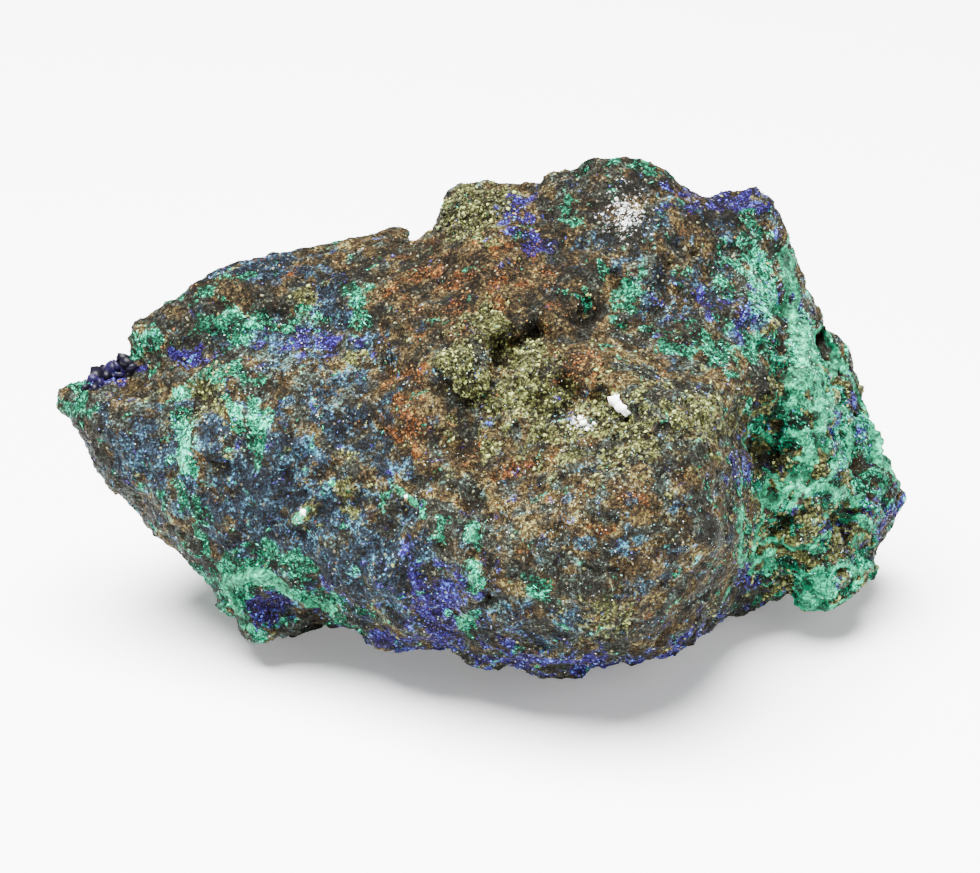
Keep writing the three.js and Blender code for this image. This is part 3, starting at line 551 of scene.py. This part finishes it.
def found_on(skin_places):
    """The minerals on the finished skin: those of the rock below each place, and those of the walls."""
    found = minerals(skin_places - moved[[near_rough.find(place)[1] for place in skin_places]])
    nearest = [near_crest.find(place) for place in skin_places]
    crest = np.array([number for spot, number, distance in nearest])
    away = np.array([distance for spot, number, distance in nearest])
    close = 1 - ease(away / wall_reach[crest], 0.75, 1.25)
    for kind, strength in (("ribbon", 0.85), ("malachite", 1.0), ("olive", 1.0)):
        found[kind] = np.maximum(found[kind], strength * close * (wall_kinds[crest] == kind))
    for kind in ("malachite", "azurite"):
        found[kind] = found[kind] - 0.5 * close * (wall_kinds[crest] == "olive")
    return found


# Nodules of ore are heaped on it, thickest where olive ore crumbles: lumpy balls up to nearly three
# millimetres across, each with its own three girths, and sunk by a share of its girth.
ball_shape = np.array([
    [0, 0, 1], [0.89, 0, 0.45], [0.28, 0.85, 0.45], [-0.72, 0.53, 0.45], [-0.72, -0.53, 0.45],
    [0.28, -0.85, 0.45], [0.72, 0.53, -0.45], [-0.28, 0.85, -0.45], [-0.89, 0, -0.45],
    [-0.28, -0.85, -0.45], [0.72, -0.53, -0.45], [0, 0, -1],
])
ball_faces = np.array([
    [0, 1, 2], [0, 2, 3], [0, 3, 4], [0, 4, 5], [0, 5, 1], [1, 6, 2], [2, 7, 3], [3, 8, 4], [4, 9, 5],
    [5, 10, 1], [6, 7, 2], [7, 8, 3], [8, 9, 4], [9, 10, 5], [10, 6, 1], [11, 7, 6], [11, 8, 7],
    [11, 9, 8], [11, 10, 9], [11, 6, 10],
])
nodule_count = 1900
largest_girth = 1.25  # mm, from the middle
nodule_sink = 0.4
heaped = np.clip(found["olive"] * 1.2 + found["malachite"] * 0.3, 0.02, 1.2)
chosen = dice.choice(len(places), nodule_count, replace=False, p=heaped / heaped.sum())
girth = dice.uniform(0.35, 1.0, nodule_count) ** 1.3 * largest_girth
girths = girth[:, None] * dice.uniform(0.7, 1.15, (nodule_count, 3))
nodule_axes = turned(nodule_count, normals[chosen], 0.5, dice)
nodule_middles = places[chosen] - nodule_sink * girth[:, None] * normals[chosen]
nodule_places, nodule_faces = many(ball_shape, ball_faces, nodule_axes, girths, nodule_middles)

# Rock, nodules and walls become one closed skin.
corners = np.empty(len(rough.polygons) * 4, dtype=np.int64)
rough.polygons.foreach_get("vertices", corners)
corners = corners.reshape(-1, 4)
rock_faces = np.concatenate([corners[:, [0, 1, 2]], corners[:, [0, 2, 3]]])
nodule_faces = nodule_faces + len(places)
wall_faces = wall_faces + len(places) + len(nodule_places)
joined = mesh_from(
    "joined",
    np.concatenate([places, nodule_places, wall_places]),
    np.concatenate([rock_faces, nodule_faces, wall_faces]),
)
skin = reshaped(joined, "skin", "REMESH", mode="VOXEL", voxel_size=skin_cell * MM, use_smooth_shade=True)

# The finished skin's own grain, a fifth of a millimetre high on rock and a quarter of that on the ribbons.
places, normals = points_of(skin)
found = found_on(places)
smooth_share = ease(found["ribbon"], 0.3, 0.7)
wander = np.stack([noise(places, 1.4, k) for k in (34, 35, 36)], 1)
grain = 0.21 * crumpled(places * [1, 1, 1.3] + 0.5 * wander, 1.7, 31, 2) + 0.2 * layered(places, 1.2, 37, 2)
places = places + normals * ((1 - 0.75 * smooth_share) * grain)[:, None]
low = np.array(cad_low) / MM
high = np.array(cad_high) / MM
places = np.clip(places, low + [-1.0, -1.0, 0.0], high + 1.0)
put_points(skin, places)
skin = reshaped(skin, "thinned", "TRIANGULATE")
skin = reshaped(skin, "thinned", "DECIMATE", ratio=min(1.0, most_triangles / len(skin.polygons)))
skin.polygons.foreach_set("use_smooth", np.ones(len(skin.polygons), dtype=bool))
places, normals = points_of(skin)
found = found_on(places)
edges = np.empty(len(skin.edges) * 2, dtype=np.int64)
skin.edges.foreach_get("vertices", edges)
ends = edges.reshape(-1, 2)


def slackened(places, rounds):
    """The skin's points after each has moved to its neighbours' middle, again and again."""
    count = np.bincount(edges, minlength=len(places))[:, None]
    for _ in range(rounds):
        total = np.stack([np.bincount(ends[:, 0], places[ends[:, 1], k], len(places)) for k in range(3)], 1)
        total += np.stack([np.bincount(ends[:, 1], places[ends[:, 0], k], len(places)) for k in range(3)], 1)
        places = total / count
    return places


# How deep each point lies below its surroundings, and how deep in a pit: painted shade darkens these places
# in the rock's paint.
near_hollow = np.einsum("ij,ij->i", slackened(places, 3) - places, normals)
wide_hollow = np.einsum("ij,ij->i", slackened(places, 30) - places, normals)
found["hollow"] = np.clip(0.28 + 3.2 * near_hollow + 0.22 * wide_hollow + 0.32 * found.pop("pit"), 0, 1)
for name, strength in found.items():
    skin.attributes.new(name, "FLOAT", "POINT").data.foreach_set("value", strength)


def colour(code, alpha=1.0):
    """A paint given as a screen colour, such as 7a5a3c, as the linear colour that a shader takes."""
    parts = [int(code[k : k + 2], 16) / 255 for k in (0, 2, 4)]
    return [p / 12.92 if p <= 0.04045 else ((p + 0.055) / 1.055) ** 2.4 for p in parts] + [alpha]


def add(tree, kind, sockets=(), **settings):
    """A shader node with its settings, and its sockets filled by values or by other nodes' outputs."""
    made = tree.nodes.new("ShaderNode" + kind)
    for key, value in settings.items():
        setattr(made, key, value)
    for key, value in dict(sockets).items():
        if isinstance(value, bpy.types.NodeSocket):
            tree.links.new(value, made.inputs[key])
        else:
            made.inputs[key].default_value = value
    return made


def mixed(tree, share, under, over):
    """The colour over laid on the colour under by a share."""
    return add(tree, "Mix", {0: share, 6: under, 7: over}, data_type="RGBA").outputs[2]


def between(tree, value, low, high):
    """0 below low, 1 above high, and eased between."""
    sockets = {"Value": value, "From Min": low, "From Max": high}
    return add(tree, "MapRange", sockets, interpolation_type="SMOOTHSTEP").outputs[0]


def speckle(tree, where, size, detail=3, rough=0.6, swirl=0.0):
    """Noise whose lumps measure about size in millimetres, drawn out into streaks by the swirl."""
    scale = 1 / (size * MM)
    sockets = {"Vector": where, "Scale": scale, "Detail": detail, "Roughness": rough, "Distortion": swirl}
    return add(tree, "TexNoise", sockets).outputs["Fac"]


def sum_of(tree, a, b, share=1.0):
    """a plus a share of b."""
    sockets = {0: b, 1: share, 2: a}
    return add(tree, "Math", sockets, operation="MULTIPLY_ADD").outputs[0]


def shades(tree, value, codes):
    """Paints spread evenly from value 0 to value 1."""
    ramp = add(tree, "ValToRGB", {"Fac": value})
    stops = ramp.color_ramp.elements
    while len(stops) < len(codes):
        stops.new(0.5)
    for k, code in enumerate(codes):
        stops[k].position = k / (len(codes) - 1)
        stops[k].color = colour(code)
    return ramp.outputs[0]


def mosaic(tree, where, size):
    """A mosaic of grains that measure about size in millimetres: each grain's own three random numbers, its
    facet and how far its points lie from its middle."""
    cells = add(tree, "TexVoronoi", {"Vector": where, "Scale": 1 / (size * MM)})
    parts = add(tree, "SeparateColor", {"Color": cells.outputs["Color"]}).outputs
    return parts[0], parts[1], parts[2], cells.outputs["Color"], cells.outputs["Distance"]


def facets(tree, *leans):
    """The normal, leant by the facets of some mosaics, each by its share."""
    normal = add(tree, "NewGeometry").outputs["Normal"]
    for facet, share in leans:
        lean = add(tree, "VectorMath", {0: facet, 1: (-0.5, -0.5, -0.5)}, operation="ADD").outputs[0]
        scaled = add(tree, "VectorMath", {0: lean, "Scale": share}, operation="SCALE").outputs[0]
        normal = add(tree, "VectorMath", {0: normal, 1: scaled}, operation="ADD").outputs[0]
    return add(tree, "VectorMath", {0: normal}, operation="NORMALIZE").outputs[0]


ore = bpy.data.materials.new("ore")
ore.use_nodes = True
tree = ore.node_tree
tree.nodes.clear()
where = add(tree, "TexCoord").outputs["Object"]
fine = speckle(tree, where, 0.3, 4, 0.75, 0.25)
middling = speckle(tree, where, 1.3, 6, 0.72, 0.7)
broad = speckle(tree, where, 4.5, 6, 0.7, 0.8)
lumps = speckle(tree, where, 1.5, 3, 0.6, 0.6)
pick, tint, gleam, facet, off_middle = mosaic(tree, where, 0.34)
crumb_pick, crumb_tint, crumb_gleam, crumb_facet = mosaic(tree, where, 0.15)[:4]


def strength_of(tree, name):
    """A number that the mesh holds for each of its points."""
    return add(tree, "Attribute", attribute_name=name).outputs["Fac"]


def grows(name, limit, mix=0.1, blur=0.07):
    """Where a mineral takes the skin: where it is strong, with streaked edges and a few stray grains."""
    strong = sum_of(tree, strength_of(tree, name), middling, 2.3)
    strong = sum_of(tree, strong, fine, 0.5)
    strong = sum_of(tree, strong, pick, mix)
    middle = limit + 1.4 + 0.5 * mix
    return between(tree, strong, middle - blur, middle + blur)


# How light each spot's paint is: every mineral's paints run from its darkest to its lightest by this tone.
tone = add(tree, "Math", {0: fine, 1: 3.0, 2: -3.4}, operation="MULTIPLY_ADD").outputs[0]
tone = sum_of(tree, tone, middling, 0.9)
tone = sum_of(tree, tone, lumps, 1.6)
tone = sum_of(tree, tone, broad, 1.4)
# The bloom strength lightens the pale chalky patches; its negative part darkens the upper faces as painted
# shade.
tone = sum_of(tree, tone, strength_of(tree, "bloom_and_crest_shade"), 0.32)
tone = sum_of(tree, tone, tint, 0.26)
tone = sum_of(tree, tone, crumb_tint, 0.36)

# Bare rock, dusky or brown with rust, and over it each mineral where it grows, the later over the earlier.
brown = shades(tree, tone, ["100d08", "201a10", "302717", "423521", "5a4a2a", "8c8450"])
dusk = shades(tree, tone, ["0c0c09", "171713", "22221c", "2f312a", "3e4640", "588078"])
browned = between(tree, sum_of(tree, strength_of(tree, "rust"), broad, 2.4), 1.15, 1.5)
shade = mixed(tree, browned, dusk, brown)
olive_paints = ["121107", "212112", "33331c", "454724", "616538", "97a05c"]
azurite_paints = ["0b0813", "140d28", "1e1047", "251560", "373781", "5b7cd7"]
malachite_paints = ["080f0b", "0e2318", "0e4030", "006b48", "10a378", "44f0c8"]
crusts = [
    ("slate", 0.5, ["090b0e", "10151a", "1a212a", "26323e", "31495c", "4f9aae"]),
    ("rust", 0.75, ["140d07", "251709", "3c230e", "562b0f", "643d1c", "896a36"]),
    ("olive", 0.58, olive_paints),
    ("azurite", 0.6, azurite_paints),
    ("malachite", 0.58, malachite_paints),
]
for mineral, limit, paints in crusts:
    shade = mixed(tree, grows(mineral, limit), shade, shades(tree, tone, paints))

# The smooth ribbons are banded by softer noise and lie over the crusts.
soft_tone = add(tree, "Math", {0: middling, 1: 2.2, 2: -0.95}, operation="MULTIPLY_ADD").outputs[0]
banded = sum_of(tree, soft_tone, tone, 0.45)
ribbon_paint = shades(tree, banded, ["0f2018", "17523b", "15805a", "1bac7e", "45d6a6"])
smooth_skin = between(tree, sum_of(tree, strength_of(tree, "ribbon"), fine, 0.3), 0.54, 0.64)
shade = mixed(tree, smooth_skin, shade, ribbon_paint)

# Quartz crumbs, a few painted pale green glints, and painted shade in the gaps between grains and in the
# hollows.
white_share = sum_of(tree, strength_of(tree, "white"), middling, 2.3)
white_share = sum_of(tree, sum_of(tree, white_share, pick, 0.7), crumb_pick, 1.0)
shade = mixed(tree, between(tree, white_share, 2.95, 3.1), shade, colour("e6e6e6"))
# Painted glints: a few pale blue-green specks in the paint stand for light caught by crystal faces.
painted_glints = between(tree, sum_of(tree, crumb_gleam, fine, 0.8), 1.5, 1.56)
shade = mixed(tree, painted_glints, shade, colour("57cfc0"))
# Painted shade: dark lines in the gaps between grains, and dark paint in the hollows and pits.
gap_shade = between(tree, sum_of(tree, off_middle, fine, -0.9), 0.16, 0.34)
hollow_shade = between(tree, sum_of(tree, strength_of(tree, "hollow"), fine, 0.9), 1.0, 1.4)
shaded = add(tree, "Math", {0: gap_shade, 1: hollow_shade}, operation="MAXIMUM").outputs[0]
painted_shade = add(tree, "Math", {0: shaded, 1: 0.68}, operation="MULTIPLY").outputs[0]
# The painted shade darkens the paint towards 120d07 by the larger of the two shares.
shade = mixed(tree, painted_shade, shade, colour("120d07"))

# Every grain leans its own way, so it catches the light by itself. The ribbons' skin is smoother.
leaning = facets(tree, (facet, 0.5), (crumb_facet, 0.5))
uneven = add(tree, "MapRange", {"Value": smooth_skin, "To Min": 1.0, "To Max": 0.35}).outputs[0]
swell_sockets = {"Height": middling, "Distance": 0.9 * MM, "Strength": uneven, "Normal": leaning}
swell = add(tree, "Bump", swell_sockets).outputs[0]
rise_sockets = {"Height": fine, "Distance": 0.35 * MM, "Strength": uneven, "Normal": swell}
rise = add(tree, "Bump", rise_sockets).outputs[0]
gloss = add(tree, "MapRange", {"Value": gleam, "To Min": 0.4, "To Max": 0.9}).outputs[0]
sockets = {"Base Color": shade, "Roughness": gloss, "Specular IOR Level": 0.06, "Normal": rise}
surface = add(tree, "BsdfPrincipled", sockets)
add(tree, "OutputMaterial", {"Surface": surface.outputs[0]})


def placed(name, mesh, material):
    """The mesh in its finish, as a piece of the stone."""
    piece = bpy.data.objects.new(name, mesh)
    bpy.context.scene.collection.objects.link(piece)
    mesh.materials.clear()
    mesh.materials.append(material)
    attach(piece, "root")
    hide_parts("stone")


placed("rock", skin, ore)

# ---------------------------------------------------------------- the mineral grains
# Thousands of small crystals and crumbs, a tenth to three quarters of a millimetre long, that grew on the
# rock and into one another. Each mineral's grains are one piece, rooted in the skin of the same stone.

crystal_shape = np.array([  # eight flat faces, a little out of true
    [1, 0.1, 0], [-1, -0.1, 0.1], [0.1, 1, -0.1], [0, -1, 0.15], [0.2, 0.1, 1], [-0.1, 0, -1],
])
crystal_faces = np.array([
    [0, 2, 4], [2, 1, 4], [1, 3, 4], [3, 0, 4], [2, 0, 5], [1, 2, 5], [3, 1, 5], [0, 3, 5],
])

corner_list = np.empty(len(skin.loops), dtype=np.int64)
skin.loops.foreach_get("vertex_index", corner_list)
skin_middles = corner_list.reshape(-1, 3)
face_middles = places[skin_middles].mean(axis=1)
face_normals = normals[skin_middles].mean(axis=1)
face_found = {name: values[skin_middles].mean(axis=1) for name, values in found.items()}
sides = places[skin_middles]
face_areas = np.linalg.norm(np.cross(sides[:, 1] - sides[:, 0], sides[:, 2] - sides[:, 0]), axis=1) / 2
face_shown = 0.55 + 0.45 * shown(face_middles)
face_shown *= 0.3 + 0.7 * ease(face_middles[:, 2], 1.0, 6.0)


def set_in(name, material, grown, tones):
    """A piece of crystals on the rock, given by places and faces, with a tone for each place."""
    mesh = mesh_from(name, *grown)
    mesh.attributes.new("tone", "FLOAT", "POINT").data.foreach_set("value", tones)
    placed(name, mesh, material)


def grow(name, material, liking, count, smallest, largest, proportions, lean, sink):
    """One piece of small grains, thickest where the skin suits them. Sizes are in millimetres, the lean is a
    share of a random way added to the skin's own, and the sink the share of a grain that is in the skin."""
    rng = np.random.default_rng(len(name) * 101 + count)
    weight = np.clip(liking, 0, None) * face_areas * face_shown
    chosen = rng.choice(len(face_middles), count, p=weight / weight.sum())
    lift = face_normals[chosen]
    aside = 0.1 * np.cross(lift, rng.normal(size=(count, 3)))
    spots = face_middles[chosen] + aside
    size = smallest + (largest - smallest) * rng.random(count) ** 3
    sizes = 0.5 * size[:, None] * proportions * rng.uniform(0.7, 1.3, (count, 3))
    grain_axes = turned(count, lift, lean, rng)
    middles = spots + lift * (size * (0.5 - sink))[:, None]
    corners, faces = many(crystal_shape, crystal_faces, grain_axes, sizes, middles)
    corners = np.clip(corners, low + [-1.5, -1.2, 0.0], high + [1.5, 1.2, 1.2])
    set_in(name, material, (corners, faces), np.repeat(rng.random(count), len(crystal_shape)))


def grain_finish(name, paints, roughness, shine, size=0.2):
    """A finish whose colour changes from grain to grain through the given paints, with mottles of a size in
    millimetres on each grain."""
    material = bpy.data.materials.new(name)
    material.use_nodes = True
    tree = material.node_tree
    tree.nodes.clear()
    where = add(tree, "TexCoord").outputs["Object"]
    mottle = speckle(tree, where, size, 3, 0.7)
    shift = add(tree, "Math", {0: strength_of(tree, "tone"), 1: -0.4}, operation="ADD").outputs[0]
    paint = shades(tree, sum_of(tree, shift, mottle, 0.8), paints)
    rise = add(tree, "Bump", {"Height": mottle, "Distance": 0.05 * MM, "Strength": 0.6}).outputs[0]
    sockets = {"Base Color": paint, "Roughness": roughness, "Specular IOR Level": shine, "Normal": rise}
    surface = add(tree, "BsdfPrincipled", sockets)
    add(tree, "OutputMaterial", {"Surface": surface.outputs[0]})
    return material


bare = 1 - ease(face_found["ribbon"], 0.25, 0.6)
broken = 0.5 + 0.5 * noise(face_middles, 0.8, 66)

on_azurite = ease(face_found["azurite"], 0.3, 0.7)
on_slate = 0.12 * ease(face_found["slate"], 0.2, 0.7) * broken
grow(
    "azurite_crystals",
    grain_finish("azurite", azurite_paints, roughness=0.3, shine=0.3),
    bare * (on_azurite + on_slate + 0.01),
    count=9000, smallest=0.12, largest=0.45, proportions=[1.0, 0.6, 0.7], lean=0.5, sink=0.48,
)

grow(
    "malachite_grains",
    grain_finish("malachite", malachite_paints, roughness=0.45, shine=0.2),
    ease(face_found["malachite"], 0.35, 0.7) * (0.3 + 0.7 * bare) + 0.01,
    count=11000, smallest=0.12, largest=0.48, proportions=[1.5, 0.35, 0.4], lean=0.3, sink=0.45,
)

off_malachite = 1.1 - ease(face_found["malachite"], 0.3, 0.6)
off_olive = 1.1 - ease(face_found["olive"], 0.4, 0.8)
grit_paints = ["0e0d0a", "1c1912", "28241a", "383327", "484536", "6d7358"]
grow(
    "rock_grit",
    grain_finish("rock", grit_paints, roughness=0.6, shine=0.15),
    bare * (0.35 + 0.65 * broken) * off_malachite * off_olive,
    count=12000, smallest=0.14, largest=0.65, proportions=[1.0, 0.7, 0.5], lean=0.35, sink=0.58,
)

grow(
    "olive_granules",
    grain_finish("olive ore", olive_paints, roughness=0.5, shine=0.2),
    bare * (ease(face_found["olive"], 0.3, 0.7) + 0.006),
    count=9000, smallest=0.14, largest=0.75, proportions=[1.0, 0.7, 0.6], lean=0.6, sink=0.48,
)

rust_paints = ["140d07", "251709", "3c230e", "5a2d0f", "6c4420", "93733d"]
grow(
    "rust_grains",
    grain_finish("rust", rust_paints, roughness=0.6, shine=0.15),
    bare * (ease(face_found["rust"], 0.4, 0.8) + 0.01),
    count=4500, smallest=0.12, largest=0.45, proportions=[1.0, 0.8, 0.5], lean=0.4, sink=0.55,
)

# Pale grains: quartz crumbs on the white patches, and elsewhere specks whose pale paint is a painted glint.
on_quartz = 0.8 * ease(face_found["white"], 0.4, 0.9)
quartz_glint_paints = ["62baca", "7fc4c4", "a8d8d4", "e8f4f2", "ffffff"]
grow(
    "pale_crystals",
    grain_finish("pale", quartz_glint_paints, roughness=0.3, shine=0.5),
    on_quartz + 0.012 * bare + 0.3 * face_found["bloom_and_crest_shade"] + 0.08 * ease(face_found["malachite"], 0.4, 0.8),
    count=5000, smallest=0.08, largest=0.24, proportions=[1.0, 0.6, 0.6], lean=0.8, sink=0.42,
)

# ---------------------------------------------------------------- the blades on the nose
# A cluster of violet-black azurite blades, one to two millimetres long, on the nose's upper side. They grew
# out of the rock and lean over one another, each with its foot in the skin.


def planted(spots, shape, faces, proportions, way, stray, rise, rng):
    """Crystals rooted in the skin under spots on the sheet: across, up, length and turn in degrees. They
    point the skin's own way, bent by the given way and a share of a random one, and their middles rise off
    the skin by a share of their length."""
    across, up, depth = face_on(places)
    in_view = normals @ eye_way > 0.2
    grown = []
    numbers = []
    for x, y, long, turn in spots:
        beside = (across - x) ** 2 + (up - y) ** 2 + 0.02 * (10 - depth)  # the nearer to the eye, the better
        spot = int(np.argmin(np.where(in_view, beside, 99)))
        w = normals[spot] + way + stray * rng.normal(size=3)
        w /= np.linalg.norm(w)
        u = np.cross(w, [math.sin(math.radians(turn)), 0, math.cos(math.radians(turn))])
        u /= np.linalg.norm(u)
        axes = np.array([[u, np.cross(w, u), w]])
        chipped = shape * rng.uniform(0.8, 1.25, (len(shape), 1))
        middle = places[spot][None, :] + rise * long * w
        numbers.append(faces + len(shape) * len(grown))
        grown.append(many(chipped, faces, axes, np.array([proportions]) * long, middle)[0])
    return np.concatenate(grown), np.concatenate(numbers)


blade_shape = np.array([  # a slab with a roof-shaped end
    [-1, -1, -1], [1, -1, -1], [1, 1, -1], [-1, 1, -1], [-1, -1, 0.3], [1, -1, 0.3], [1, 1, 0.3],
    [-1, 1, 0.3], [0, -0.45, 1], [0, 0.45, 1],
])
blade_faces = np.array([
    [0, 3, 2], [0, 2, 1], [0, 1, 5], [0, 5, 4], [1, 2, 6], [1, 6, 5], [2, 3, 7], [2, 7, 6],
    [3, 0, 4], [3, 4, 7], [4, 5, 8], [5, 6, 9], [5, 9, 8], [6, 7, 9], [7, 4, 8], [7, 8, 9],
])
blade_spots = [
    (-40.4, 5.2, 1.3, 20), (-39.8, 5.9, 1.7, 70), (-39.2, 6.3, 2.0, 110), (-38.6, 6.9, 1.6, 40),
    (-38.2, 6.2, 1.4, 0), (-37.8, 7.4, 2.2, 90), (-37.2, 7.2, 1.7, 150), (-36.6, 7.9, 1.9, 60),
    (-36.1, 7.5, 1.5, 20), (-39.5, 5.0, 1.2, 130), (-37.0, 6.4, 1.3, 100), (-35.6, 7.2, 1.3, 45),
    (-38.9, 5.6, 1.1, 10), (-36.4, 6.9, 1.2, 120), (-38.0, 7.0, 1.5, 60),
]
blade_dice = np.random.default_rng(8)
blades = planted(
    blade_spots, blade_shape, blade_faces, proportions=[0.17, 0.36, 0.45], way=0.5 * up_way, stray=0.5,
    rise=0.12, rng=blade_dice,
)
blade_tones = np.repeat(blade_dice.uniform(0.1, 0.6, len(blade_spots)), len(blade_shape))
blade_paints = ["05040a", "0a0814", "110c24", "1a1240", "2b2168"]
blade_finish = grain_finish("dark azurite", blade_paints, roughness=0.4, shine=0.12, size=0.5)
set_in("azurite_blades", blade_finish, blades, blade_tones)

# ---------------------------------------------------------------- the white chips
# Chips of white quartz, held by the ore that grew round their roots: a flat one a little over two
# millimetres long in the hollow, a few crumbs below it, and two on the dark side.

chip_spots = [
    (12.2, 4.0, 1.2, 30), (12.6, 3.8, 1.4, 75), (13.0, 3.4, 1.3, 10), (13.3, 3.1, 1.3, 50),
    (13.7, 2.9, 0.9, 0), (12.8, 4.1, 0.8, 20), (9.2, 1.5, 0.8, 30), (9.9, 1.1, 0.6, 80),
    (8.8, 2.2, 0.5, 0), (10.4, 1.7, 0.45, 40), (-18.7, -7.0, 0.7, 50), (-8.4, -5.6, 0.5, 20),
]
chips = planted(
    chip_spots, crystal_shape, crystal_faces, proportions=[0.62, 0.55, 0.3], way=0.4 * eye_way, stray=0.0,
    rise=0.08, rng=np.random.default_rng(5),
)
chip_tones = np.full(len(chips[0]), 0.8)
chip_paints = ["8a8f88", "c4c8c0", "e8eae6", "ffffff"]
chip_finish = grain_finish("quartz", chip_paints, roughness=0.35, shine=0.5, size=0.5)
set_in("white_chips", chip_finish, chips, chip_tones)

# ---------------------------------------------------------------- floor, light and camera
# A pale seamless table under soft light from above, and the eye on the display side, half a metre off and
# above the stone. None of this belongs to it.

floor_corners = np.array([[-3000, -3000, 0], [3000, -3000, 0], [3000, 3000, 0], [-3000, 3000, 0]])
floor_mesh = mesh_from("floor", floor_corners, np.array([[0, 1, 2, 3]]))
floor = bpy.data.objects.new("floor", floor_mesh)
bpy.context.scene.collection.objects.link(floor)
table = bpy.data.materials.new("table")
table.use_nodes = True
table_paint = table.node_tree.nodes["Principled BSDF"].inputs
table_paint["Base Color"].default_value = (0.9, 0.9, 0.9, 1)
table_paint["Roughness"].default_value = 0.6
table_paint["Emission Color"].default_value = (1, 1, 1, 1)
table_paint["Emission Strength"].default_value = 0.3
floor_mesh.materials.append(table)

room = bpy.data.worlds.new("room")
bpy.context.scene.world = room
room.use_nodes = True
room_light = room.node_tree.nodes["Background"].inputs
room_light["Color"].default_value = (1, 1, 1, 1)
room_light["Strength"].default_value = 0.2


def lamp(name, place, size, power):
    """A round soft lamp turned towards the stone. Its place and size are in metres, its power in watts."""
    stone_middle = Vector((0, 0, 0.02))
    data = bpy.data.lights.new(name, "AREA")
    data.shape = "DISK"
    data.size = size
    data.energy = power
    made = bpy.data.objects.new(name, data)
    made.location = place
    made.rotation_euler = (stone_middle - Vector(place)).to_track_quat("-Z", "Y").to_euler()
    bpy.context.scene.collection.objects.link(made)


lamp("key", (-0.08, -0.04, 0.6), size=0.6, power=50.0)
lamp("fill", (0.3, -0.3, 0.25), size=0.3, power=1.0)

view_width = 98  # mm, at the sheet
picture_middle = sheet_middle + 0.35 * up_way
camera_data = bpy.data.cameras.new("camera")
camera_data.lens = camera_data.sensor_width * eye_distance / view_width
camera_data.clip_start = 0.01
camera = bpy.data.objects.new("camera", camera_data)
camera.location = (picture_middle + eye_distance * eye_way) * MM
camera.rotation_euler = (math.radians(90) - tilt, 0, 0)
bpy.context.scene.collection.objects.link(camera)
bpy.context.scene.camera = camera
